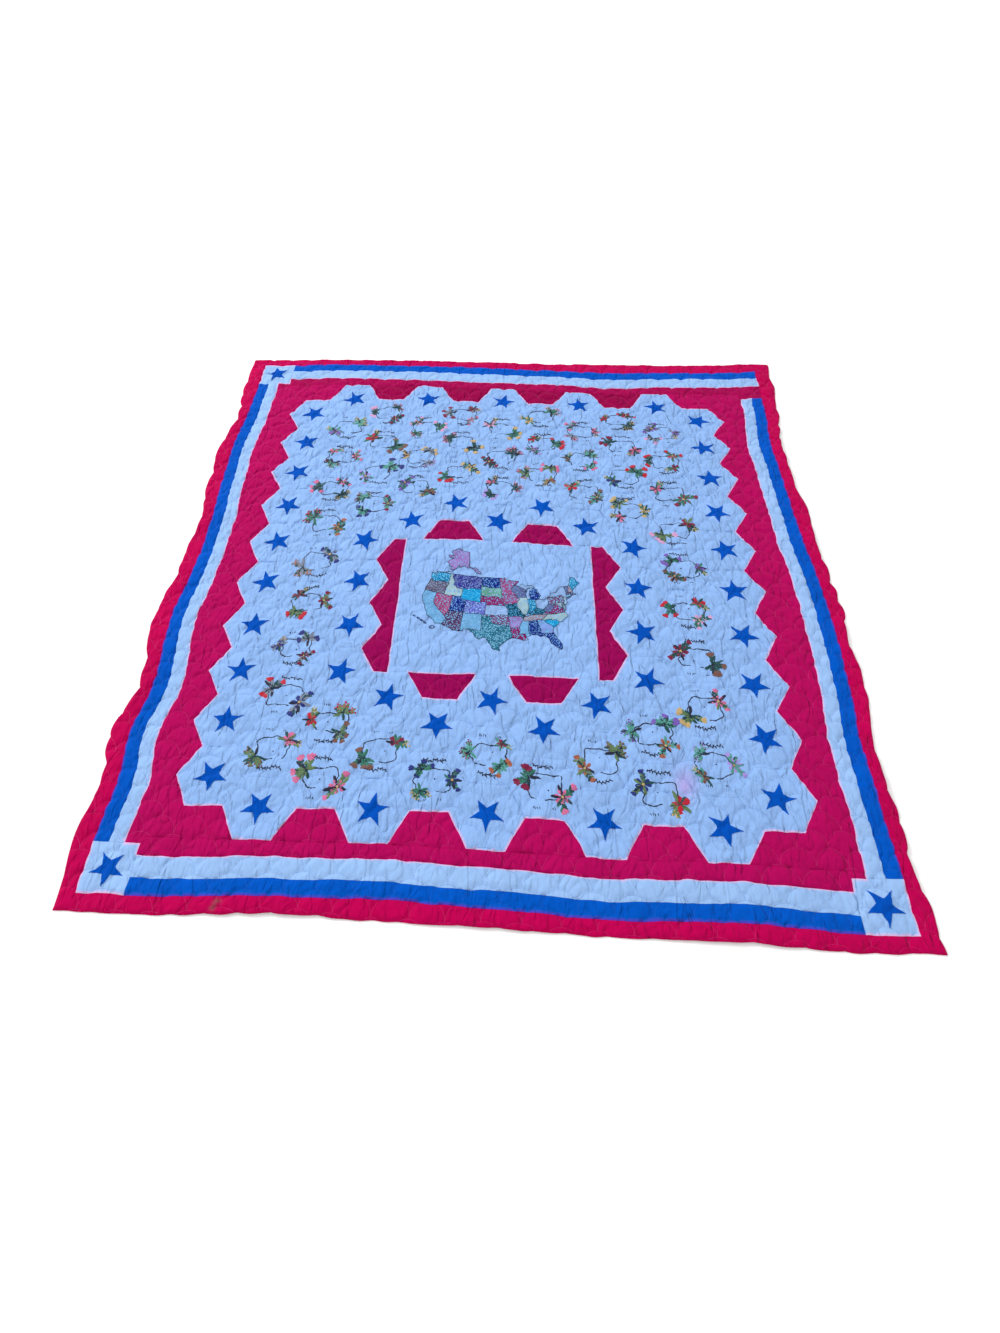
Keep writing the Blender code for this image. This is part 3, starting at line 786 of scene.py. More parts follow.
def shell(name, outline, rise, step, material):
    """A thin closed patch sewn on the quilted surface, with its edge turned under."""
    rim = rim_of(outline)
    count = len(rim)
    points, edges = mesh_points(rim, rim, step)
    plan = place(points)
    ground = surface(points)
    height = np.full(len(points), rise)
    height[:count] = TURNED_SHARE * rise
    verts = np.concatenate([
        np.column_stack([plan, ground + height]),
        np.column_stack([plan, ground - SHELL_DEPTH]),
    ])
    top = triangles_inside(plan, count, edges)
    return new_piece(name, verts, closed(count, len(points), top, top), [material])


# Colours of the cloth: the cloth, how the names of the patches that take the colour start, its
# colour as red, green and blue from 0 to 255, and how crumpled it is. The red is darker in the
# middle and on the far side and brighter on the border, and the white strips are lighter than the
# hexagons
Cotton = namedtuple("Cotton", "cloth patches colour crumple")
# The white cloth is drawn pale blue, and every colour here leans blue: a painted cast of the blue
# open shade that the quilt lay in
COTTONS = {
    "white": Cotton("white", (), (131, 166, 217), 1.0),
    "red": Cotton("red", (), (161, 14, 82), 1.0),
    "blue": Cotton("blue", (), (2, 79, 176), 1.0),
    "strip_white": Cotton("white", ("white_strip", "corner_square"), (139, 173, 219), 0.7),
    "centre_red": Cotton("red", ("centre_red",), (136, 12, 77), 1.0),
    "border_red": Cotton("red", ("border",), (172, 6, 74), 1.0),
    "far_red": Cotton("red", ("ground_tooth_far",), (136, 8, 66), 1.0),
    "far_strip_red": Cotton("red", ("ground_far",), (150, 12, 74), 1.0),
}
STAR_BLUE = (6, 74, 168)
STAR_FADING = 0.1
CLOTH_FADING = 0.08
# Quilting thread on each cloth. On white the thread is drawn darker than the cloth: painted shade
# of the furrow it lies in. On red it is a lighter pink: the thread's own pale tone with a painted
# highlight of the ridge beside it. On blue it is near the cloth's own blue.
QUILTING_THREAD_WITH_PAINTED_LIGHT = {"white": (104, 134, 190), "red": (174, 40, 102), "blue": (16, 84, 176)}
# Painted highlight along the rolled edge at a seam with red cloth, pink from the red seam
# allowance that lies under it
SEAM_EDGE_HIGHLIGHTS = {"white": (218, 168, 208), "blue": (92, 48, 168)}
SEAM_EDGE_HIGHLIGHT_SHARE = 0.85
# Old marks on the cloth: place, spread across and away in hexagon sides, and strength
Stain = namedtuple("Stain", "u v across away strength")
STAINS = (
    Stain(5.20, -7.45, 0.27, 0.42, 0.3),
    Stain(5.12, -7.60, 0.14, 0.2, 0.14),
    Stain(-6.50, -11.14, 0.05, 0.13, 0.55),
    Stain(-6.44, -11.05, 0.07, 0.04, 0.5),
    Stain(-6.56, -11.22, 0.06, 0.04, 0.5),
)
STAIN_COLOURS = {"white": (196, 134, 206), "red": (120, 84, 84), "blue": (120, 84, 84)}

# Folds washed into the cloth: how far apart, their turn, their softness and their depth in metres
CLOTH_FOLDS = ((0.056, 0.5, 0.11, 0.0027), (0.037, 2.1, 0.12, 0.0017), (0.022, 1.2, 0.18, 0.0006))
FOLD_STRETCH = (1.0, 0.42, 1.0)
FOLD_DETAIL = 1.5
FOLD_WANDERING = 0.7
# Weaves and other fine relief: size and height in metres, and how uneven the weave's threads are
CLOTH_WEAVE = (0.0009, 0.00012)
CALICO_WEAVE = (0.0008, 0.0001)
WEAVE_UNEVENNESS = 0.6
CLOTH_DIMPLES = (0.014, 0.0014)
CALICO_DIMPLES = (0.005, 0.0005)
THREAD_TWIST = (0.0007, 0.0003)
# How far apart faded patches, slubs and shades of thread are, in metres
CLOTH_PATCHES, SLUBS, CALICO_PATCHES, THREAD_SHADES = 0.11, 0.0016, 0.05, 0.0022
# Sockets of the node that mixes colours, which it has by these numbers alone
MIX_FIRST, MIX_SECOND, MIX_RESULT = 6, 7, 2


class Shading:
    """Nodes of one material, with short names for the few kinds that cloth needs."""

    def __init__(self, name):
        self.material = bpy.data.materials.new(name)
        self.material.use_nodes = True
        self.tree = self.material.node_tree
        self.shader = self.tree.nodes["Principled BSDF"]
        self.where = self.node("TexCoord", {}, "Object")

    def put(self, node, inputs):
        """Sets the inputs of a node to plain values, or links them to another node's output."""
        for name, value in inputs.items():
            if isinstance(value, bpy.types.NodeSocket):
                self.tree.links.new(value, node.inputs[name])
            else:
                node.inputs[name].default_value = value

    def node(self, kind, inputs, output=0, **settings):
        made = self.tree.nodes.new("ShaderNode" + kind)
        for name, value in settings.items():
            setattr(made, name, value)
        self.put(made, inputs)
        return made.outputs[output]

    def done(self, colour, relief, plain):
        """The material, once the surface has its colour, its relief and its plain values."""
        self.put(self.shader, {"Base Color": colour, "Normal": relief, **plain})
        return self.material

    def noise(self, size, detail=2.0, scale=(1.0, 1.0, 1.0)):
        where = self.node("Mapping", {"Vector": self.where, "Scale": scale})
        inputs = {"Vector": where, "Scale": 1.0 / size, "Detail": detail}
        return self.node("TexNoise", inputs, "Fac")

    def wave(self, size, axis):
        inputs = {"Vector": self.where, "Scale": 1.0 / (size * math.pi)}
        inputs["Distortion"] = WEAVE_UNEVENNESS
        return self.node("TexWave", inputs, "Fac", bands_direction=axis)

    def weave(self, size, height):
        return self.bump(self.math("MULTIPLY", self.wave(size, "X"), self.wave(size, "Y")), height)

    def folds(self, size, turn, width):
        """Low along wandering lines about size apart, and 1 between them."""
        inputs = {"Vector": self.where, "Rotation": (0.0, 0.0, turn), "Scale": FOLD_STRETCH}
        inputs = {"Vector": self.node("Mapping", inputs), "Scale": 1.0 / size}
        inputs.update({"Detail": FOLD_DETAIL, "Distortion": FOLD_WANDERING})
        hills = self.node("TexNoise", inputs, "Fac")
        away = self.math("ABSOLUTE", self.math("SUBTRACT", hills, 0.5), 0.0)
        return self.between(away, 0.0, width)

    def attribute(self, name):
        return self.node("Attribute", {}, "Fac", attribute_name=name)

    def math(self, operation, first, second):
        return self.node("Math", {0: first, 1: second}, operation=operation)

    def between(self, value, low, high, to_low=0.0, to_high=1.0):
        inputs = {"Value": value, "From Min": low, "From Max": high}
        inputs.update({"To Min": to_low, "To Max": to_high})
        return self.node("MapRange", inputs, interpolation_type="SMOOTHSTEP")

    def mix(self, share, first, second):
        inputs = {0: share, MIX_FIRST: first, MIX_SECOND: second}
        return self.node("Mix", inputs, MIX_RESULT, data_type="RGBA")

    def shades(self, size, detail, colour, darker, lighter):
        """A colour that changes softly between two shades of it, in patches about size apart."""
        share = self.between(self.noise(size, detail), 0.3, 0.7)
        return self.mix(share, shade(colour, darker), shade(colour, lighter))

    def bump(self, height, distance, before=None):
        inputs = {"Strength": 1.0, "Distance": distance, "Height": height}
        if before is not None:
            inputs["Normal"] = before
        return self.node("Bump", inputs)


def shade(colour, factor=1.0):
    """A colour from 0 to 255 as the light that a surface gives back, made darker or lighter."""
    return (*(min((value / 255.0) ** 2.2 * factor, 1.0) for value in colour), 1.0)


def woven(name, colour, stain, fading=CLOTH_FADING, crumple=1.0, seam_tint=None):
    """Plain woven cotton: an even weave, faint slubs, washed-in folds and uneven fading."""
    cloth = Shading(name)
    base = cloth.shades(CLOTH_PATCHES, 3.0, colour, 1.0 - fading, 1.0 + fading)
    slubs = cloth.between(cloth.noise(SLUBS, 1.0, (1.0, 0.25, 1.0)), 0.25, 0.8)
    dyed = cloth.mix(slubs, base, shade(colour, 1.0 + 0.5 * fading))
    dyed = cloth.mix(cloth.attribute("stain"), dyed, shade(stain))
    # A painted highlight along the rim at seams with red cloth, pink from the red seam allowance
    # under it
    if seam_tint is not None:
        dyed = cloth.mix(cloth.attribute("seam_tint"), dyed, shade(seam_tint))
    size, height = CLOTH_DIMPLES
    raised = cloth.bump(cloth.noise(size, 3.0), height * crumple, cloth.weave(*CLOTH_WEAVE))
    for size, turn, width, height in CLOTH_FOLDS:
        raised = cloth.bump(cloth.folds(size, turn, width), height * crumple, raised)
    gloss = {"Roughness": 0.95, "Specular IOR Level": 0.04}
    return cloth.done(dyed, raised, {**gloss, "Sheen Weight": 0.01, "Sheen Roughness": 0.5})


def calico(name, ground, print_colour, size, cover):
    """Small printed cotton: spots and sprigs of one colour on another."""
    cloth = Shading(name)
    dots = cloth.node("TexVoronoi", {"Vector": cloth.where, "Scale": 1.0 / size}, "Distance")
    ragged = cloth.math("ADD", dots, cloth.math("MULTIPLY", cloth.noise(size * 0.5), 0.6))
    spots = cloth.between(ragged, cover + 0.2, cover + 0.32, 1.0, 0.0)
    base = cloth.shades(CALICO_PATCHES, 2.0, ground, 0.9, 1.1)
    size, height = CALICO_DIMPLES
    raised = cloth.bump(cloth.noise(size), height, cloth.weave(*CALICO_WEAVE))
    gloss = {"Roughness": 0.88, "Specular IOR Level": 0.12, "Sheen Weight": 0.03}
    return cloth.done(cloth.mix(spots, base, shade(print_colour)), raised, gloss)


def thread(name, colour):
    """Stranded cotton thread: a soft sheen and fine twisted strands."""
    strands = Shading(name)
    size, height = THREAD_TWIST
    twist = strands.bump(strands.noise(size, 1.0, (1.0, 2.5, 1.0)), height)
    tone = strands.shades(THREAD_SHADES, 2.0, colour, 0.78, 1.2)
    gloss = {"Roughness": 0.62, "Specular IOR Level": 0.25, "Sheen Weight": 0.08}
    return strands.done(tone, twist, gloss)


# Sewing: how deep cords and pads reach into the cloth, and a pad's shape, as shares of its height
CORD_SUNK = -0.4
PAD_INNER = 0.55
PAD_RIM, PAD_SHOULDER, PAD_SUNK = 0.05, 0.9, -0.5


class Work:
    """Sewing on the surface: layout points with heights above the cloth, and coloured faces."""

    def __init__(self):
        self.points = []
        self.heights = []
        self.faces = []
        self.colours = []

    def add(self, points, heights, faces, colour):
        first = sum(len(batch) for batch in self.points)
        self.points.append(np.asarray(points, dtype=float))
        self.heights.append(np.asarray(heights, dtype=float))
        self.faces += [[first + corner for corner in face] for face in faces]
        self.colours += [colour] * len(faces)

    def line(self, path, width, height, colour):
        """A cord along a path of layout points: width across and height up, in metres."""
        path = np.asarray(path, dtype=float)
        heading = np.gradient(path, axis=0)
        heading /= np.maximum(np.linalg.norm(heading, axis=1), TINY)[:, None]
        aside = np.stack([-heading[:, 1], heading[:, 0]], axis=1) * (width / 2 / HEX_SIDE)
        count = len(path)
        points = np.concatenate([path + aside, path, path - aside])
        heights = np.repeat([CORD_SUNK * height, height, CORD_SUNK * height], count)
        faces = []
        for i in range(count - 1):
            for a, b in ((0, count), (count, 2 * count), (2 * count, 0)):
                faces.append([a + i, a + i + 1, b + i + 1, b + i])
        faces.append([0, count, 2 * count])
        faces.append([3 * count - 1, 2 * count - 1, count - 1])
        self.add(points, heights, faces, colour)

    def pad(self, ring, height, colour):
        """A low stuffed shape within a ring of layout points, such as a leaf or petal."""
        ring = np.asarray(ring, dtype=float)
        middle = ring.mean(axis=0)
        inner = middle + PAD_INNER * (ring - middle)
        count = len(ring)
        points = np.concatenate([ring, inner, [middle, middle]])
        shares = [PAD_RIM] * count + [PAD_SHOULDER] * count + [1.0, PAD_SUNK]
        faces = []
        for a, b in around(list(range(count))):
            faces.append([a, b, count + b, count + a])
            faces.append([count + a, count + b, 2 * count])
            faces.append([b, a, 2 * count + 1])
        self.add(points, np.array(shares) * height, faces, colour)

    def made(self, name, materials):
        points = np.concatenate(self.points)
        raised = surface(points) + np.concatenate(self.heights)
        used = sorted(set(self.colours))
        verts = np.column_stack([place(points), raised])
        piece = new_piece(name, verts, self.faces, [materials[colour] for colour in used])
        number = {colour: i for i, colour in enumerate(used)}
        piece.data.polygons.foreach_set("material_index", [number[c] for c in self.colours])
        return piece


# Stars: how far each is turned from one tip straight away, in degrees, by row and cell
STAR_TURNS = {
    0: {1: 31, 2: 13, 3: 28, 4: 39, 5: 20, 6: 18, 7: 3, 8: 4, 9: 4, 10: 35},
    1: {0.5: 24, 10.5: 36},
    2: {5: 50, 6: 24, 7: 42, 8: 62},
    3: {0.5: 10, 4.5: 11, 8.5: 59, 10.5: 63},
    4: {4: 21, 9: 35},
    5: {0.5: 56, 4.5: 55, 8.5: 51, 10.5: 34},
    6: {4: 31, 9: 32},
    7: {0.5: 8, 4.5: 11, 8.5: 23, 10.5: 36},
    8: {5: 52, 6: 61, 7: 14, 8: 48},
    9: {0.5: 12, 10.5: 49},
    10: {1: 45, 2: 13, 3: 1, 4: 39, 5: 14, 6: 3, 7: 41, 8: 37, 9: 24, 10: 58},
}
CORNER_STAR_TURNS = {
    "corner_square_near_left": 32,
    "corner_square_near_right": 37,
    "corner_square_far_left": 13,
}
STAR_RADIUS = 0.47
STAR_WAIST = 0.41
STAR_HOLLOW = 0.05
STAR_SIDE_PARTS = 4


def star_outline(centre, turn):
    """Five drawn-out points whose sides bend in a little towards the middle."""
    corners = []
    for i in range(10):
        reach = STAR_RADIUS if i % 2 == 0 else STAR_RADIUS * STAR_WAIST
        angle = math.radians(90.0 + turn + 36.0 * i)
        corners.append((centre[0] + reach * math.cos(angle), centre[1] + reach * math.sin(angle)))
    outline = []
    for start, end in around(corners):
        for part in range(STAR_SIDE_PARTS):
            share = part / STAR_SIDE_PARTS
            pull = STAR_HOLLOW * 4.0 * share * (1.0 - share)
            straight = [a + (b - a) * share for a, b in zip(start, end)]
            outline.append(tuple(s + (c - s) * pull for s, c in zip(straight, centre)))
    return outline


def make_star(name, centre, turn, materials):
    star = shell(name, star_outline(centre, turn), STAR_RISE, STAR_STEP, materials["star"])
    return star


# The map's fabrics: ground and print colours, the print's size in metres and how much it covers
FABRICS = {
    "teal": ((16, 112, 160), (112, 188, 228), 0.0044, 0.42),
    "taupe": ((84, 77, 102), (120, 150, 180), 0.0044, 0.42),
    "sky": ((94, 149, 194), (120, 167, 213), 0.0052, 0.40),
    "rose": ((144, 62, 108), (98, 166, 212), 0.0044, 0.38),
    "cream": ((140, 171, 184), (114, 159, 208), 0.011, 0.34),
    "iris": ((48, 48, 130), (118, 146, 190), 0.0044, 0.42),
    "navy": ((14, 37, 118), (110, 162, 212), 0.0044, 0.40),
    "sage": ((92, 150, 140), (142, 168, 224), 0.0052, 0.38),
    "azure": ((6, 131, 188), (70, 176, 222), 0.0048, 0.42),
    "lavender": ((84, 87, 175), (136, 176, 216), 0.0048, 0.44),
    "plum": ((74, 42, 80), (110, 168, 214), 0.0044, 0.42),
    "crimson": ((116, 36, 92), (84, 178, 226), 0.0052, 0.38),
    "pale": ((128, 160, 206), (112, 142, 188), 0.012, 0.30),
    "mauve": ((102, 60, 102), (106, 186, 228), 0.0044, 0.44),
    "sea": ((33, 98, 122), (120, 174, 212), 0.0044, 0.44),
    "pink": ((135, 63, 114), (90, 168, 216), 0.0044, 0.42),
    "pine": ((0, 59, 82), (74, 154, 202), 0.0044, 0.42),
    "lilac": ((132, 106, 169), (100, 166, 214), 0.0052, 0.36),
    "periwinkle": ((110, 137, 198), (104, 163, 208), 0.011, 0.40),
    "slate": ((79, 90, 136), (103, 140, 184), 0.0048, 0.40),
    "tan": ((138, 122, 142), (108, 172, 206), 0.0048, 0.40),
}
STATE_FABRICS = {
    "wa": "teal", "or": "taupe", "ca": "sky", "nv": "rose", "id": "cream", "mt": "iris",
    "wy": "azure", "ut": "navy", "co": "lavender", "az": "plum", "nm": "sky", "nd": "navy",
    "sd": "sage", "ne": "crimson", "ks": "pale", "ok": "mauve", "tx": "sea", "mn": "pink",
    "ia": "pink", "mo": "pine", "ar": "lilac", "la": "crimson", "wi": "slate", "il": "cream",
    "in": "teal", "mi": "navy", "up": "pale", "oh": "pale", "ky": "pine", "tn": "tan",
    "ms": "sky", "al": "navy", "ga": "periwinkle", "fl": "navy", "sc": "azure", "nc": "cream",
    "va": "crimson", "wv": "slate", "md": "cream", "de": "pale", "pa": "mauve", "nj": "cream",
    "ny": "pale", "ct": "sky", "ri": "plum", "ma": "plum", "vt": "slate", "nh": "tan",
    "me": "teal",
}

# Borders, each named for what lies on its two sides: degrees west and north of every corner
BORDERS = {
    "wa_sea": "123 49, 122.4 48.3, 122.5 47.4, 122.9 48.1, 124.7 48.4, 124.1 46.9, 124 46.2",
    "wa_can": "123 49, 117 49",
    "wa_id": "117 49, 117 46.4, 116.9 46",
    "wa_or": "124 46.2, 123.2 46.2, 122.8 45.7, 121.2 45.7, 119 46, 116.9 46",
    "or_sea": "124 46.2, 124.1 44.6, 124.5 42.9, 124.2 42",
    "or_id": "116.9 46, 116.5 45.6, 117 44.3, 117 42",
    "or_nv": "117 42, 120 42",
    "or_ca": "120 42, 124.2 42",
    "ca_sea": "124.2 42, 124.4 40.4, 123.8 39.2, 122.5 37.8, 121.9 36.6, 120.6 35.1, 120.5 34.5, "
              "119.2 34.1, 118.4 33.8, 117.1 32.5",
    "ca_nv": "120 42, 120 39, 114.6 35",
    "ca_az": "114.6 35, 114.1 34.3, 114.5 33.8, 114.7 32.7",
    "ca_mex": "114.7 32.7, 117.1 32.5",
    "nv_id": "117 42, 114 42",
    "nv_ut": "114 42, 114 37",
    "nv_az": "114 37, 114.1 36.2, 114.7 36.1, 114.6 35",
    "id_can": "117 49, 116 49",
    "id_mt": "116 49, 116 48, 114.8 47, 114.4 46.6, 114.5 45.6, 113.5 45, 113 44.5, 111 44.5",
    "id_wy": "111 44.5, 111 42",
    "id_ut": "111 42, 114 42",
    "mt_can": "116 49, 104 49",
    "mt_nd": "104 49, 104 45.9",
    "mt_sd": "104 45.9, 104 45",
    "mt_wy": "104 45, 111 45, 111 44.5",
    "wy_sd": "104 45, 104 43",
    "wy_ne": "104 43, 104 41",
    "wy_co": "104 41, 109 41",
    "wy_ut": "109 41, 111 41, 111 42",
    "ut_co": "109 41, 109 37",
    "ut_az": "109 37, 114 37",
    "co_nm": "109 37, 103 37",
    "co_ok": "103 37, 102 37",
    "co_ks": "102 37, 102 40",
    "co_ne": "102 40, 102 41, 104 41",
    "az_nm": "109 37, 109 31.3",
    "az_mex": "109 31.3, 111.1 31.3, 114.8 32.5, 114.7 32.7",
    "nm_mex": "109 31.3, 108.2 31.3, 108.2 31.8, 106.5 31.8",
    "nm_tx": "106.5 31.8, 106.6 32, 103.1 32, 103 36.5",
    "nm_ok": "103 36.5, 103 37",
    "ok_tx": "103 36.5, 100 36.5, 100 34.6, 98.1 34.1, 96.5 33.8, 94.5 33.6",
    "ok_ks": "102 37, 94.6 37",
    "ok_mo": "94.6 37, 94.6 36.5",
    "ok_ar": "94.6 36.5, 94.4 35.4, 94.5 33.6",
    "tx_ar": "94.5 33.6, 94 33.5, 94 33",
    "tx_la": "94 33, 94 32, 93.5 31.1, 93.8 29.7",
    "tx_sea": "93.8 29.7, 94.8 29.3, 96 28.5, 97.2 27.7, 97.4 26.8, 97.1 25.9",
    "tx_mex": "97.1 25.9, 99.1 26.4, 99.5 27.5, 100.6 28.9, 101.4 29.8, 102.4 29.8, 103.1 29, "
              "104.5 29.6, 105 30.7, 106.5 31.8",
    "nd_can": "104 49, 97.2 49",
    "nd_mn": "97.2 49, 96.8 46.9, 96.6 45.9",
    "nd_sd": "96.6 45.9, 104 45.9",
    "sd_mn": "96.6 45.9, 96.8 45.6, 96.4 45.3, 96.4 43.5",
    "sd_ia": "96.4 43.5, 96.4 42.5",
    "sd_ne": "96.4 42.5, 97.9 42.8, 98.5 43, 104 43",
    "ne_ia": "96.4 42.5, 96.1 41.6, 95.8 40.6",
    "ne_mo": "95.8 40.6, 95.3 40",
    "ne_ks": "95.3 40, 102 40",
    "ks_mo": "95.3 40, 94.9 39.4, 94.6 39.1, 94.6 37",
    "mn_can": "97.2 49, 95.2 49, 95.1 49.4, 94.6 48.7, 93 48.6, 91.4 48.1, 89.6 48",
    "mn_lake": "89.6 48, 92.1 46.7",
    "mn_wi": "92.1 46.7, 92.3 46.1, 92.9 45.6, 92.7 44.7, 91.2 43.8, 91.2 43.5",
    "mn_ia": "91.2 43.5, 96.4 43.5",
    "ia_wi": "91.2 43.5, 91.1 42.9, 90.6 42.5",
    "ia_il": "90.6 42.5, 90.2 41.8, 91.1 41.2, 91.4 40.4",
    "ia_mo": "91.4 40.4, 91.7 40.6, 95.8 40.6",
    "mo_il": "91.4 40.4, 91.4 39.9, 90.7 39, 90.2 38.7, 89.6 37.3, 89.1 37",
    "mo_ky": "89.1 37, 89.5 36.5",
    "mo_tn": "89.5 36.5, 89.7 36",
    "mo_ar": "89.7 36, 90.4 36, 90.2 36.5, 94.6 36.5",
    "ar_tn": "89.7 36, 90.3 35",
    "ar_ms": "90.3 35, 90.8 34.2, 91.2 33",
    "ar_la": "91.2 33, 94 33",
    "la_ms": "91.2 33, 91 32.2, 91.6 31, 89.7 31, 89.6 30.2",
    "la_sea": "93.8 29.7, 92.3 29.5, 91.3 29.3, 90.2 29.1, 89.2 29, 89.5 29.8, 89.6 30.2",
    "ms_sea": "89.6 30.2, 88.4 30.3",
    "ms_al": "88.4 30.3, 88.5 31.9, 88.2 35",
    "ms_tn": "88.2 35, 90.3 35",
    "al_sea": "88.4 30.3, 88 30.7, 87.5 30.3",
    "al_fl": "87.5 30.3, 87.6 31, 85 31",
    "al_ga": "85 31, 85 32.3, 85.2 32.9, 85.6 35",
    "al_tn": "85.6 35, 88.2 35",
    "fl_sea": "87.5 30.3, 86.3 30.4, 85.3 29.7, 84.2 30.1, 83 29.1, 82.8 27.9, 82.1 26.7, "
              "81.7 25.9, 80.9 25.1, 80.3 25.4, 80 26.9, 80.6 28.4, 81.4 30.7",
    "fl_ga": "81.4 30.7, 82.1 30.4, 82.2 30.6, 84.9 30.7, 85 31",
    "ga_sea": "81.4 30.7, 81.2 31.6, 80.9 32",
    "ga_sc": "80.9 32, 81.5 33, 82.8 34, 83.3 34.7, 83.1 35",
    "ga_nc": "83.1 35, 84.3 35",
    "ga_tn": "84.3 35, 85.6 35",
    "sc_sea": "80.9 32, 79.9 32.7, 79.2 33.2, 78.5 33.9",
    "sc_nc": "78.5 33.9, 79.7 34.8, 80.8 34.8, 81 35.1, 82.4 35.2, 83.1 35",
    "nc_sea": "78.5 33.9, 77.9 33.9, 76.6 34.7, 75.5 35.2, 75.9 36.5",
    "nc_va": "75.9 36.5, 81.7 36.6",
    "nc_tn": "81.7 36.6, 82.6 36, 84.3 35",
    "tn_va": "81.7 36.6, 83.7 36.6",
    "tn_ky": "83.7 36.6, 88.1 36.6, 88.1 36.5, 89.5 36.5",
    "ky_va": "83.7 36.6, 82 37.5",
    "ky_wv": "82 37.5, 82.6 38.4",
    "ky_oh": "82.6 38.4, 83.6 38.6, 84.8 39.1",
    "ky_in": "84.8 39.1, 85.4 38.6, 86.5 37.9, 88 37.8",
    "ky_il": "88 37.8, 88.5 37.1, 89.1 37",
    "in_il": "88 37.8, 87.5 38.7, 87.5 39.3, 87.5 41.7",
    "in_lake": "87.5 41.7, 86.8 41.8",
    "in_mi": "86.8 41.8, 84.8 41.7",
    "in_oh": "84.8 41.7, 84.8 39.1",
    "il_lake": "87.5 41.7, 87.8 42.5",
    "il_wi": "87.8 42.5, 90.6 42.5",
    "wi_lake": "87.8 42.5, 87.7 43.8, 87.1 45.1, 88 44.6, 87.6 45.1",
    "wi_up": "87.6 45.1, 88.1 45.9, 90.4 46.6",
    "wi_superior": "90.4 46.6, 90.8 46.9, 92.1 46.7",
    "up_superior": "90.4 46.6, 88.4 47.3, 87.4 46.5, 85 46.8, 84.4 46.5, 84 46",
    "up_lake": "84 46, 85 46.1, 86.6 45.8, 87.6 45.1",
    "mi_lake": "86.8 41.8, 86.2 42.8, 86.5 43.7, 86.1 44.8, 85 45.5, 84.8 45.8, 83.4 45.1, "
               "83.3 44.3, 83.9 43.7, 82.9 44, 82.4 43, 83.1 42.1, 83.4 41.7",
    "mi_oh": "83.4 41.7, 84.8 41.7",
    "oh_lake": "83.4 41.7, 82.7 41.5, 81.7 41.5, 80.5 42",
    "oh_pa": "80.5 42, 80.5 40.6",
    "oh_wv": "80.5 40.6, 80.8 39.7, 81.8 39, 82.6 38.4",
    "pa_wv": "80.5 40.6, 80.5 39.7, 79.5 39.7",
    "md_wv": "79.5 39.7, 79.5 39.2, 78.8 39.6, 77.7 39.3",
    "va_wv": "82 37.5, 81.2 37.2, 80.3 37.5, 79.3 38.4, 78.4 39.4, 77.7 39.3",
    "va_md": "77.7 39.3, 77 38.8, 77.2 38.4, 76.3 38",
    "va_sea": "76.3 38, 76.4 37, 76 36.9, 75.9 36.5",
    "md_pa": "79.5 39.7, 75.8 39.7",
    "md_de": "75.8 39.7, 75.7 38.5, 75.1 38.5",
    "md_sea": "75.1 38.5, 75.9 37.2, 76.1 38.4, 76.1 39.4, 76.5 38.9, 76.3 38",
    "de_pa": "75.8 39.7, 75.4 39.8",
    "de_sea": "75.4 39.8, 75.5 39.3, 75.1 38.8, 75.1 38.5",
    "nj_pa": "75.4 39.8, 74.8 40.2, 75.1 40.8, 74.7 41.4",
    "nj_ny": "74.7 41.4, 73.9 41",
    "nj_sea": "73.9 41, 74.2 40.5, 74.1 39.7, 74.9 39, 75.2 39.3, 75.4 39.8",
    "ny_pa": "74.7 41.4, 75.3 42, 79.8 42, 79.8 42.3",
    "pa_lake": "79.8 42.3, 80.5 42",
    "ny_lake": "79.8 42.3, 78.9 42.9, 79 43.3, 76.5 43.5, 76.3 44.1, 74.9 45",
    "ny_can": "74.9 45, 73.3 45",
    "ny_vt": "73.3 45, 73.3 42.7",
    "ny_ma": "73.3 42.7, 73.5 42",
    "ny_ct": "73.5 42, 73.6 41",
    "ny_sea": "73.6 41, 73.7 40.9, 72 41.1, 73.9 40.5, 73.9 41",
    "vt_can": "73.3 45, 71.5 45",
    "vt_nh": "71.5 45, 72 44.1, 72.5 42.7",
    "vt_ma": "72.5 42.7, 73.3 42.7",
    "nh_ma": "72.5 42.7, 71.3 42.7, 70.8 42.9",
    "nh_sea": "70.8 42.9, 70.7 43.1",
    "nh_me": "70.7 43.1, 71.1 45.3",
    "nh_can": "71.1 45.3, 71.5 45",
    "me_can": "71.1 45.3, 70.3 45.9, 70 46.7, 69.2 47.5, 68.2 47.3, 67.8 47.1, 67.8 45.7, "
              "67 44.8",
    "me_sea": "67 44.8, 68.5 44.3, 70.2 43.6, 70.7 43.1",
    "ma_sea": "70.8 42.9, 70.7 42.6, 71 42.2, 70.5 41.8, 70 42.1, 70 41.6, 70.7 41.6, 71.1 41.5",
    "ma_ri": "71.1 41.5, 71.4 42, 71.8 42",
    "ma_ct": "71.8 42, 73.5 42",
    "ri_sea": "71.1 41.5, 71.5 41.4, 71.9 41.3",
    "ri_ct": "71.9 41.3, 71.8 42",
    "ct_sea": "71.9 41.3, 72.9 41.3, 73.6 41",
}
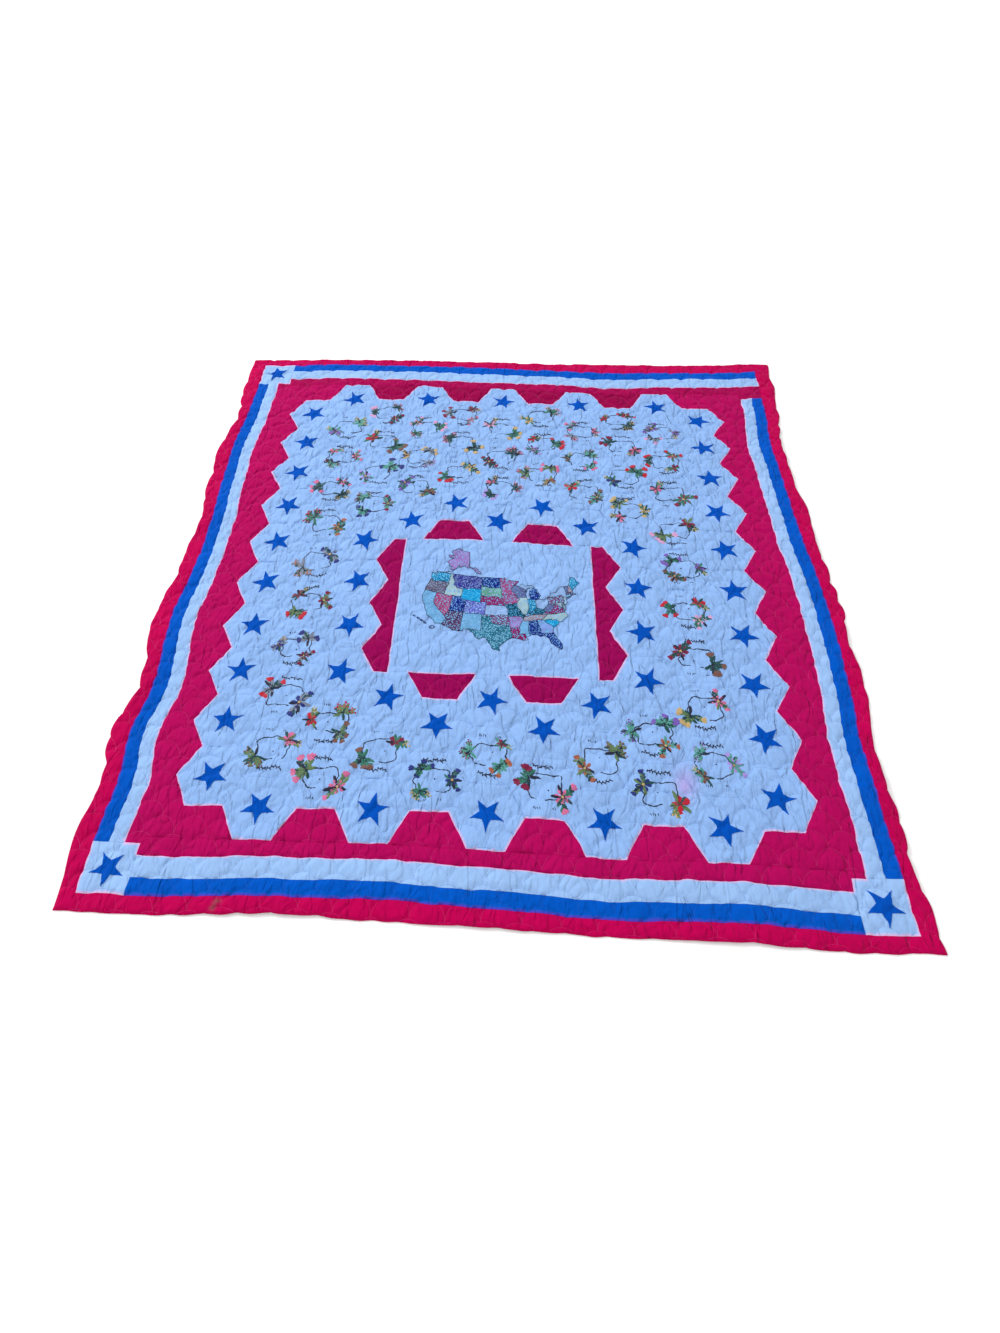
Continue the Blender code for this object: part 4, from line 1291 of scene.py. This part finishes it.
ALASKA = (
    "141 69.6, 145 70, 150 70.5, 156.5 71.3, 161 70.4, 166.2 68.8, 163.5 67.2, 162 66.1, "
    "168 65.6, 166 64.4, 161 64.6, 164.5 63.1, 166 61.6, 162 59.9, 161.8 58.7, 158.5 58.8, "
    "159.6 57.3, 157 56.9, 154.2 58.2, 153 59.6, 151.5 61, 151.8 59.2, 149 60, 146.5 60.8, "
    "144.5 60.1, 139.5 59.6, 137 58.5, 134.5 56.6, 131.5 54.9, 130 55.3, 132 57, 133.5 58.5, "
    "135.3 59.7, 137.5 59.1, 139.3 60.3, 141 60.3"
)
# The islands off Alaska's foot, as a line in hexagon sides
ISLAND_CHAIN = ((-1.38, -0.47), (-1.45, -0.53), (-1.58, -0.55), (-1.77, -0.58), (-2.0, -0.57))
# Islands off the lower left corner: middle, length, width and turn, in hexagon sides and degrees
Island = namedtuple("Island", "u v length width turn")
HAWAII = (
    Island(-2.55, -2.25, 0.09, 0.05, -20),
    Island(-2.40, -2.33, 0.12, 0.05, -30),
    Island(-2.28, -2.42, 0.13, 0.04, -35),
    Island(-2.16, -2.51, 0.12, 0.05, -35),
    Island(-1.92, -2.69, 0.20, 0.09, 5),
)
ISLAND_PARTS = 12

# The map's place on the centre panel in hexagon sides: left, right, near and far. Its projection:
# degrees west of the middle, degrees north of the two true parallels, and the longest straight
# stretch of a border in degrees
MAP_BOX = (-2.33, 2.67, -3.46, -0.52)
MAP_CONE = (99.6, 33.0, 45.0)
MAP_STRETCH = 1.0
ALASKA_BOX = (-1.64, -0.48, -0.62, 0.42)
ALASKA_CONE = (144.0, 55.0, 65.0)
ALASKA_STRETCH = 2.0
OUTLINE_WIDTH = 2.4 * OUTLINE_THREAD


def conic(points, middle_west, first_north, second_north):
    """Degrees west and north laid flat on a cone through two parallels."""
    west, north = np.radians(points).T
    first, second = math.radians(first_north), math.radians(second_north)
    turn = (math.cos(first) - math.cos(second)) / (second - first)
    reach = math.cos(first) / turn + first - north
    angle = turn * (math.radians(middle_west) - west)
    return np.stack([reach * np.sin(angle), -reach * np.cos(angle)], axis=1)


def parted(path, step):
    """A path with its long stretches divided, the same whichever way it is walked."""
    points = [path[0]]
    for start, end in zip(path[:-1], path[1:]):
        count = max(1, math.ceil(float(np.linalg.norm(end - start)) / step))
        points += [start + (end - start) * (i + 1) / count for i in range(count)]
    return np.array(points)


def charted(charts, cone, stretch, box):
    """Charts in degrees as paths of layout points, which fill a box of the layout together."""
    flat = {}
    for name, chart in charts.items():
        corners = [[float(degrees) for degrees in corner.split()] for corner in chart.split(",")]
        flat[name] = conic(parted(np.array(corners), stretch), *cone)
    every = np.concatenate(list(flat.values()))
    low, high = every.min(axis=0), every.max(axis=0)
    left, right, near, far = box
    paths = {}
    for name, path in flat.items():
        share = (path - low) / (high - low)
        u = left + share[:, 0] * (right - left)
        paths[name] = np.stack([u, near + share[:, 1] * (far - near)], axis=1)
    return paths


def same(first, second):
    return float(np.linalg.norm(first - second)) < TINY


def leftward(path):
    """A closed path as an outline that turns to the left."""
    outline = [tuple(point) for point in path]
    turn = sum(a[0] * b[1] - b[0] * a[1] for a, b in around(outline))
    return outline if turn > 0 else outline[::-1]


def loop_of(paths):
    """Borders joined end to end into one closed outline."""
    left = list(paths)
    joined = left.pop(0)
    while left:
        for i, path in enumerate(left):
            if same(path[0], joined[-1]) or same(path[-1], joined[-1]):
                step = path if same(path[0], joined[-1]) else path[::-1]
                joined = np.concatenate([joined, step[1:]])
                left.pop(i)
                break
        else:
            raise ValueError("borders do not meet")
    return leftward(joined[:-1])


def oval(island):
    turn = math.radians(island.turn)
    points = []
    for i in range(ISLAND_PARTS):
        angle = 2.0 * math.pi * i / ISLAND_PARTS
        x = island.length / 2 * math.cos(angle)
        y = island.width / 2 * math.sin(angle)
        points.append((
            island.u + x * math.cos(turn) - y * math.sin(turn),
            island.v + x * math.sin(turn) + y * math.cos(turn),
        ))
    return points


def make_map(materials):
    """The map's calico patches and the dark stem stitch round each of them."""
    borders = charted(BORDERS, MAP_CONE, MAP_STRETCH, MAP_BOX)
    outlines = {}
    for state, fabric in STATE_FABRICS.items():
        paths = [path for name, path in borders.items() if state in name.split("_")]
        outlines[state] = (loop_of(paths), fabric)
    alaska = charted({"ak": ALASKA}, ALASKA_CONE, ALASKA_STRETCH, ALASKA_BOX)["ak"]
    apart = {"ak": (leftward(alaska), "lilac")}
    for number, island in enumerate(HAWAII, start=1):
        apart[f"hi_{number}"] = (oval(island), "navy")
    pieces = []
    for state, (outline, fabric) in {**outlines, **apart}.items():
        calico_cloth = materials["calico_" + fabric]
        piece = shell(f"map_patch_{state}", outline, MAP_RISE, STEP, calico_cloth)
        pieces.append(piece)
    sewing = Work()
    paths = list(borders.values()) + [np.array(ISLAND_CHAIN)]
    paths += [np.array(outline + outline[:1]) for outline, _ in apart.values()]
    for path in paths:
        sewing.line(parted(path, STEP), OUTLINE_WIDTH, MAP_RISE + OUTLINE_THREAD, "dark")
    pieces.append(sewing.made("map_outline_stitching", materials))
    return pieces


# Embroidery threads, by name
THREADS = {
    "dark": (22, 28, 52),
    "pine": (20, 66, 66),
    "leaf": (44, 104, 88),
    "moss": (86, 112, 76),
    "mint": (72, 138, 128),
    "scarlet": (168, 14, 44),
    "wine": (112, 14, 58),
    "rose": (188, 96, 138),
    "blush": (190, 140, 184),
    "gold": (176, 150, 104),
    "lime": (128, 144, 100),
    "rust": (148, 84, 62),
    "brown": (104, 72, 66),
    "violet": (104, 78, 160),
    "lilac": (150, 130, 204),
    "sky": (56, 104, 180),
    "indigo": (26, 40, 110),
    "cream": (206, 200, 206),
    "grey": (112, 122, 142),
}
FLOWER_COLOURS = ("scarlet", "rose", "gold", "violet", "wine", "rust", "scarlet", "lilac", "blush",
                  "indigo", "brown", "rose")
LEAF_COLOURS = ("pine", "leaf", "moss", "mint", "leaf", "grey")
# Where the sprays sit round the ring in each layout, in turns from its right-hand side
SPRAY_PLACES = ((0.39, 0.90), (0.12, 0.61), (0.34, 0.66, 0.02), (0.47, 0.84, 0.16))
SPRAY_KINDS = ("bloom", "bells", "berries", "butterfly")

# Stitches: their heights and widths in metres
EMBROIDERY_HEIGHT = 0.0010
STITCH_HEIGHT = 0.0008
VEIN_HEIGHT = 1.4 * EMBROIDERY_HEIGHT
LEAF_VEIN_HEIGHT = 1.3 * EMBROIDERY_HEIGHT
EYE_HEIGHT = 1.6 * EMBROIDERY_HEIGHT
LINE_WIDTH = 0.0042
VEIN_WIDTH = 0.4 * LINE_WIDTH
FEELER_WIDTH = 0.5 * LINE_WIDTH
STEM_WIDTH = 0.6 * LINE_WIDTH
GARLAND_WIDTH = 0.8 * LINE_WIDTH

# The dark ring on a hexagon, in hexagon sides: its width and height at least and at most, and its
# two waves, the second with more turns. Its opening is in radians
RING_WIDTHS = (0.86, 1.02)
RING_HEIGHTS = (0.60, 0.74)
RING_WAVE = 0.07
RING_SMALL_WAVE = 0.04
RING_SMALL_TURNS = 5
RING_OPENING = 0.5
RING_PARTS = 60

# The sprays: how far from the middle they sit, across and away, and their size where there are
# two or three of them, in hexagon sides
SPRAY_REACH = (0.50, 0.33)
SPRAY_SIZES = {2: 0.63, 3: 0.52}
# How the leaves of a spray and the stems of each kind lean from the way that it faces, in radians
LEAF_LEANS = (-2.3, -1.2, 0.1, 1.2, 2.3)
BLOOM_LEANS = (-1.3, 1.4)
BELL_LEANS = (-1.3, -0.3, 0.9, 2.0)
BERRY_LEANS = (-1.1, 0.3, 1.4)
PETAL_LEANS = (-0.5, 0.0, 0.5)
# Berries lie on a spiral: how many there are, and the turn from one to the next in radians
BERRY_COUNT = 7
BERRY_TURN = 2.4
# A butterfly's wings: how they lean from its heading, and their length and width for its size
FORE_WING = (0.95, 1.0, 0.62)
HIND_WING = (2.15, 0.7, 0.5)

# The garland and the seed stitches, in hexagon sides. Each row of seeds has its place across and
# away from the middle, and how many seeds it has
GARLAND_AWAY = 0.60
GARLAND_LENGTHS = (0.5, 0.7)
GARLAND_WAVE = 0.03
GARLAND_LEAVES = (0.05, 0.085)
GARLAND_LEAF_WIDTH = 0.034
GARLAND_PARTS = 28
SEED_ROWS = ((-0.22, -0.58, 4), (0.24, -0.56, 2))
SEED_PITCH = 0.055
SEED_LENGTH = 0.065
SEED_START = 0.032
DOT_RADIUS = 0.024

# Straight parts of a stem and sides of a petal, and how much broader a petal is towards its tip
STEM_PARTS = 10
PETAL_PARTS = 8
PETAL_TIP = 0.4
# The number that the first hexagon's colours are drawn with
FIRST_DRAW = 700


def bouquets():
    """Each embroidered hexagon: its row, cell and layout, and its flower and leaf colours."""
    bare = [
        (row, cell) for row, cell, _ in hexagon_cells() if cell not in STAR_TURNS.get(row, {})
    ]
    found = []
    for number, (row, cell) in enumerate(bare):
        draw = random.Random(FIRST_DRAW + number)
        flowers = draw.sample(FLOWER_COLOURS, 2)
        layout = (number + row) % len(SPRAY_PLACES)
        found.append((row, cell, layout, flowers, draw.choice(LEAF_COLOURS)))
    return found


def pointing(angle):
    return np.array([math.cos(angle), math.sin(angle)])


def heading_of(path):
    along = path[-1] - path[-2]
    return math.atan2(along[1], along[0])


def bent_path(start, angle, length, bend, parts=STEM_PARTS):
    """A smooth stem from a point: it sets off at an angle and turns by bend over its length."""
    points = [np.array(start, dtype=float)]
    for i in range(parts):
        points.append(points[-1] + pointing(angle + bend * (i + 0.5) / parts) * (length / parts))
    return np.array(points)


def add_leaf(work, root, angle, length, width, colour, tip_share=0.0):
    """A leaf or petal from its root along an angle, broader towards its tip by tip_share."""
    along = pointing(angle)
    aside = np.array([-along[1], along[0]])
    ring = []
    for i in range(PETAL_PARTS):
        turn = 2.0 * math.pi * i / PETAL_PARTS
        reach = 0.5 - 0.5 * math.cos(turn)
        broad = 1.0 - tip_share + 2.0 * tip_share * reach
        ring.append(root + along * length * reach - aside * (0.5 * width * broad * math.sin(turn)))
    work.pad(ring, EMBROIDERY_HEIGHT, colour)


def add_petal(work, root, angle, length, width, colour):
    add_leaf(work, root, angle, length, width, colour, PETAL_TIP)


def add_dot(work, centre, radius, colour, height=EMBROIDERY_HEIGHT):
    work.pad([centre + radius * pointing(math.pi * i / 3) for i in range(6)], height, colour)


def add_bloom(work, centre, radius, petals, colour, turn):
    """An open flower: overlapping petals with dark veins round a gold eye."""
    for i in range(petals):
        angle = turn + 2.0 * math.pi * i / petals
        root = centre + 0.12 * radius * pointing(angle)
        add_petal(work, root, angle, 0.88 * radius, 2.9 * radius / petals, colour)
        work.line(bent_path(root, angle, 0.55 * radius, 0.2, 3), VEIN_WIDTH, VEIN_HEIGHT, "dark")
    add_dot(work, centre, 0.22 * radius, "gold", EYE_HEIGHT)


def add_bell(work, root, angle, size, colour):
    """A closed flower of three petals side by side."""
    for lean in PETAL_LEANS:
        add_petal(work, root, angle + lean, size, 0.5 * size, colour)


def add_berries(work, spot, size, colour):
    for i in range(BERRY_COUNT):
        away = 0.4 * size * math.sqrt(i) * pointing(BERRY_TURN * i)
        add_dot(work, spot + away, 0.3 * size, colour)


def add_stem(work, draw, start, angle, length, leaf, leaf_length):
    """A bending stem with leaves in pairs, and its end."""
    path = bent_path(start, angle, length, draw.uniform(-0.9, 0.9))
    work.line(path, STEM_WIDTH, STITCH_HEIGHT, "dark")
    for i in range(2, len(path) - 1, 3):
        for side in (-1, 1):
            lean = heading_of(path[: i + 2]) + side * draw.uniform(0.5, 0.95)
            colour = draw.choice((leaf, leaf, "pine"))
            long = leaf_length * draw.uniform(0.8, 1.2)
            add_leaf(work, path[i], lean, long, 0.5 * leaf_length, colour)
    return path[-1], heading_of(path)


def add_butterfly(work, centre, turn, size, wing, body):
    """Four wings, a slim body and two feelers."""
    for side in (-1, 1):
        for lean, length, width in (FORE_WING, HIND_WING):
            add_petal(work, centre, turn + side * lean, length * size, width * size, wing)
        vein = bent_path(centre, turn + side * FORE_WING[0], 0.7 * size, side * 0.3, 4)
        work.line(vein, FEELER_WIDTH, VEIN_HEIGHT, body)
        feeler = bent_path(centre, turn + side * 0.2, 0.8 * size, side * 0.6, 4)
        work.line(feeler, FEELER_WIDTH, STITCH_HEIGHT, "dark")
    add_leaf(work, centre - pointing(turn) * 0.5 * size, turn, size, 0.18 * size, body)


def add_spray(work, draw, root, outward, size, kind, colour, leaf):
    """One group on a hexagon, size across: its flowers or butterfly among leaves."""
    middle = root + 0.1 * size * pointing(outward)
    for lean in LEAF_LEANS:
        tone = draw.choice((leaf, leaf, "pine", "dark"))
        way = outward + lean + draw.uniform(-0.3, 0.3)
        add_leaf(work, middle, way, size * draw.uniform(0.42, 0.62), 0.17 * size, tone)
        vein = bent_path(middle, way, 0.45 * size, draw.uniform(-0.3, 0.3), 4)
        work.line(vein, VEIN_WIDTH, LEAF_VEIN_HEIGHT, "dark")
    if kind == "bloom":
        radius = size * draw.uniform(0.34, 0.42)
        add_bloom(work, middle, radius, draw.choice((5, 6, 7)), colour, outward)
        for lean in BLOOM_LEANS:
            end, way = add_stem(work, draw, middle, outward + lean, 0.5 * size, leaf, 0.24 * size)
            add_bell(work, end, way, 0.26 * size, colour)
    elif kind == "bells":
        for lean in BELL_LEANS:
            long = size * draw.uniform(0.3, 0.48)
            end, way = add_stem(work, draw, middle, outward + lean, long, leaf, 0.22 * size)
            add_bell(work, end, way, size * draw.uniform(0.28, 0.36), colour)
    elif kind == "berries":
        for lean in BERRY_LEANS:
            long = size * draw.uniform(0.36, 0.52)
            end, _ = add_stem(work, draw, middle, outward + lean, long, leaf, 0.27 * size)
            add_berries(work, end, 0.2 * size, colour)
    else:
        end, _ = add_stem(work, draw, middle, outward - 1.4, 0.55 * size, leaf, 0.26 * size)
        add_berries(work, end, 0.18 * size, "gold")
        turn = outward + draw.uniform(-0.8, 0.8)
        add_butterfly(work, middle, turn, size * draw.uniform(0.42, 0.5), colour, "brown")


def vine_ring(draw, centre, width, height, waves):
    """An uneven open ring of dark stem stitch."""
    start = -0.5 * math.pi + draw.uniform(-0.6, 0.6)
    phase = draw.uniform(0.0, 6.0)
    points = []
    for i in range(RING_PARTS + 1):
        angle = start + RING_OPENING / 2 + (2.0 * math.pi - RING_OPENING) * i / RING_PARTS
        broad = 1.0 / (abs(math.cos(angle)) ** 4 + abs(math.sin(angle)) ** 4) ** 0.25
        reach = 1.0 + RING_WAVE * math.sin(waves * angle + phase)
        reach += RING_SMALL_WAVE * math.sin((waves + RING_SMALL_TURNS) * angle)
        points.append((
            centre[0] + 0.5 * width * broad * reach * math.cos(angle),
            centre[1] + 0.5 * height * broad * reach * math.sin(angle),
        ))
    return np.array(points)


def add_garland(work, draw, centre, length):
    """A wavy stem with small leaves to both sides, all in dark thread."""
    waves = draw.uniform(1.2, 2.4)
    lean = draw.uniform(-0.06, 0.06)
    share = np.linspace(0.0, 1.0, GARLAND_PARTS + 1)
    across = length * (share - 0.5)
    tall = GARLAND_WAVE * np.sin(2.0 * math.pi * waves * share) + lean * (share - 0.5)
    path = np.column_stack([centre[0] + across, centre[1] + tall])
    work.line(path, GARLAND_WIDTH, STITCH_HEIGHT, "dark")
    for i in range(1, GARLAND_PARTS, 2):
        side = 1 if i % 4 == 1 else -1
        way = heading_of(path[: i + 2]) + side * draw.uniform(0.8, 1.3)
        add_leaf(work, path[i], way, draw.uniform(*GARLAND_LEAVES), GARLAND_LEAF_WIDTH, "dark")


def add_seeds(work, draw, centre, count):
    """A short row of seed stitches."""
    for i in range(count):
        across = SEED_PITCH * (i - (count - 1) / 2)
        spot = centre + (across, draw.uniform(-0.012, 0.012))
        angle = math.pi / 2 + draw.uniform(-0.6, 0.6)
        start = spot - SEED_START * pointing(angle)
        seed = bent_path(start, angle, SEED_LENGTH, draw.uniform(-1.2, 1.2), 3)
        work.line(seed, STEM_WIDTH, STITCH_HEIGHT, "dark")


def embroider(row, cell, layout, flowers, leaf, materials):
    """Sprays on a dark ring, with a garland and seed stitches above or below, on one hexagon."""
    draw = random.Random(f"{row}-{cell}")
    centre = np.array([row_u(row), cell_v(cell)])
    work = Work()
    width, height = draw.uniform(*RING_WIDTHS), draw.uniform(*RING_HEIGHTS)
    ring = vine_ring(draw, centre, width, height, draw.choice((3, 4, 5)))
    work.line(ring, LINE_WIDTH, STITCH_HEIGHT, "dark")
    places = SPRAY_PLACES[layout]
    kinds = draw.sample(SPRAY_KINDS, len(places))
    for turns, kind, colour in zip(places, kinds, flowers + flowers[:1]):
        way = 2.0 * math.pi * turns
        root = centre + SPRAY_REACH * pointing(way)
        size = SPRAY_SIZES[len(places)] * draw.uniform(0.9, 1.1)
        add_spray(work, draw, root, way, size, kind, colour, leaf)
    eye = centre + (draw.uniform(-0.12, 0.12), draw.uniform(-0.1, 0.1))
    add_dot(work, eye, DOT_RADIUS, "dark")
    side = 1 if layout % 2 == 0 else -1
    garland = centre + (draw.uniform(-0.1, 0.1), GARLAND_AWAY * side)
    add_garland(work, draw, garland, draw.uniform(*GARLAND_LENGTHS))
    for across, away, count in SEED_ROWS:
        add_seeds(work, draw, centre + (across, away * side), count)
    return work.made("embroidery_" + cell_key(row, cell), materials)


QUILTING_WIDTH = 2 * QUILTING_THREAD
QUILTING_HEIGHT = 0.8 * QUILTING_THREAD


def make_quilting_thread(patches, materials):
    """The quilting thread along every arc, in one piece for each colour of cloth."""
    for cloth in QUILTING_THREAD_WITH_PAINTED_LIGHT:
        sewing = Work()
        for patch in patches:
            if patch.cloth == cloth:
                for line in quilting_lines(patch.outline):
                    sewing.line(line, QUILTING_WIDTH, QUILTING_HEIGHT, "quilting_" + cloth)
        sewing.made(f"quilting_thread_on_{cloth}", materials)


def make_materials():
    materials = {}
    for name, cotton in COTTONS.items():
        stain = STAIN_COLOURS[cotton.cloth]
        # The colour of the painted seam-edge highlight for this cloth
        edge_highlight_colour = SEAM_EDGE_HIGHLIGHTS.get(cotton.cloth)
        materials[name] = woven(
            f"{name}_cotton", cotton.colour, stain, crumple=cotton.crumple, seam_tint=edge_highlight_colour
        )
    materials["star"] = woven("star_cotton", STAR_BLUE, STAIN_COLOURS["blue"], STAR_FADING)
    for name, fabric in FABRICS.items():
        materials["calico_" + name] = calico(f"{name}_calico", *fabric)
    for name, colour in THREADS.items():
        materials[name] = thread(f"{name}_thread", colour)
    # Quilting thread colours, which hold painted furrow shade on white and a painted ridge
    # highlight on red
    for name, colour in QUILTING_THREAD_WITH_PAINTED_LIGHT.items():
        materials["quilting_" + name] = thread("quilting_thread_" + name, colour)
    return materials


# The photographer's eye in hexagon sides from the layout's middle, and the lens. The light stands
# at the far left, with its sizes in metres
EYE = (0.201, -14.570, 16.404)
EYE_FORWARD = (-0.0560, 0.5414, -0.8389)
EYE_RIGHT = (0.9979, 0.0575, -0.0295)
LENS = 17.728
FRAMING_SHIFT = 0.028
SENSOR = 36.0
FARTHEST_SEEN = 100.0
FLOOR_SIZE = 60.0
FLOOR_COLOUR = (0.9, 0.9, 0.9, 1.0)
FLOOR_ROUGHNESS = 0.9
SKY_COLOUR = (1.0, 1.0, 1.0, 1.0)
SKY_STRENGTH = 1.0
KEY_SPOT = (-7.0, 5.0, 5.5)
KEY_SIZE = 2.5
KEY_POWER = 700.0


def make_camera():
    data = bpy.data.cameras.new("camera")
    data.sensor_width = SENSOR
    data.lens = LENS
    data.shift_x = FRAMING_SHIFT
    data.clip_end = FARTHEST_SEEN
    forward = Vector(EYE_FORWARD).normalized()
    right = Vector(EYE_RIGHT)
    right = (right - forward * right.dot(forward)).normalized()
    turn = Matrix((right, right.cross(forward), -forward)).transposed()
    spot = Vector((EYE[0] * HEX_SIDE + SHIFT[0], EYE[1] * HEX_SIDE + SHIFT[1], EYE[2] * HEX_SIDE))
    camera = add_object("camera", data)
    camera.matrix_world = Matrix.Translation(spot) @ turn.to_4x4()
    bpy.context.scene.camera = camera


def make_floor():
    half = FLOOR_SIZE / 2
    mesh = bpy.data.meshes.new("floor")
    corners = [(u, v, 0.0) for u, v in rectangle(-half, half, -half, half)]
    mesh.from_pydata(corners, [], [(0, 1, 2, 3)])
    paint = Shading("floor_paint")
    paint.put(paint.shader, {"Base Color": FLOOR_COLOUR, "Roughness": FLOOR_ROUGHNESS})
    mesh.materials.append(paint.material)
    add_object("floor", mesh)


def make_studio():
    world = bpy.data.worlds.new("studio")
    world.use_nodes = True
    sky = world.node_tree.nodes["Background"]
    sky.inputs["Color"].default_value = SKY_COLOUR
    sky.inputs["Strength"].default_value = SKY_STRENGTH
    bpy.context.scene.world = world
    bpy.context.scene.view_settings.view_transform = "Standard"
    data = bpy.data.lights.new("key", "AREA")
    data.shape = "DISK"
    data.size = KEY_SIZE
    data.energy = KEY_POWER
    lamp = add_object("key", data)
    lamp.location = KEY_SPOT
    lamp.rotation_euler = (-Vector(KEY_SPOT)).to_track_quat("-Z", "Y").to_euler()


def main():
    materials = make_materials()
    patches = centre_patches() + hexagon_patches() + ground_patches()
    patches += strip_patches() + corner_patches() + border_patches()
    corners = {corner for patch in patches for corner in patch.outline}
    sewn_on = {patch.name: [] for patch in patches}
    for row, turns in STAR_TURNS.items():
        for cell, turn in turns.items():
            key = cell_key(row, cell)
            star = make_star("star_" + key, (row_u(row), cell_v(cell)), turn, materials)
            sewn_on["hexagon_" + key].append(star)
    for row, cell, *look in bouquets():
        work = embroider(row, cell, *look, materials)
        sewn_on["hexagon_" + cell_key(row, cell)].append(work)
    for patch in corner_patches():
        middle = tuple(np.mean(patch.outline, axis=0))
        star = make_star(patch.node + "_star", middle, CORNER_STAR_TURNS[patch.node], materials)
        sewn_on[patch.name].append(star)
    sewn_on["centre_panel_cloth"] += make_map(materials)
    reds = [patch for patch in patches if patch.cloth == "red"]
    for patch in patches:
        cloth = make_patch(patch, corners, reds, materials)
    make_quilting_thread(patches, materials)
    make_floor()
    make_studio()
    make_camera()


main()
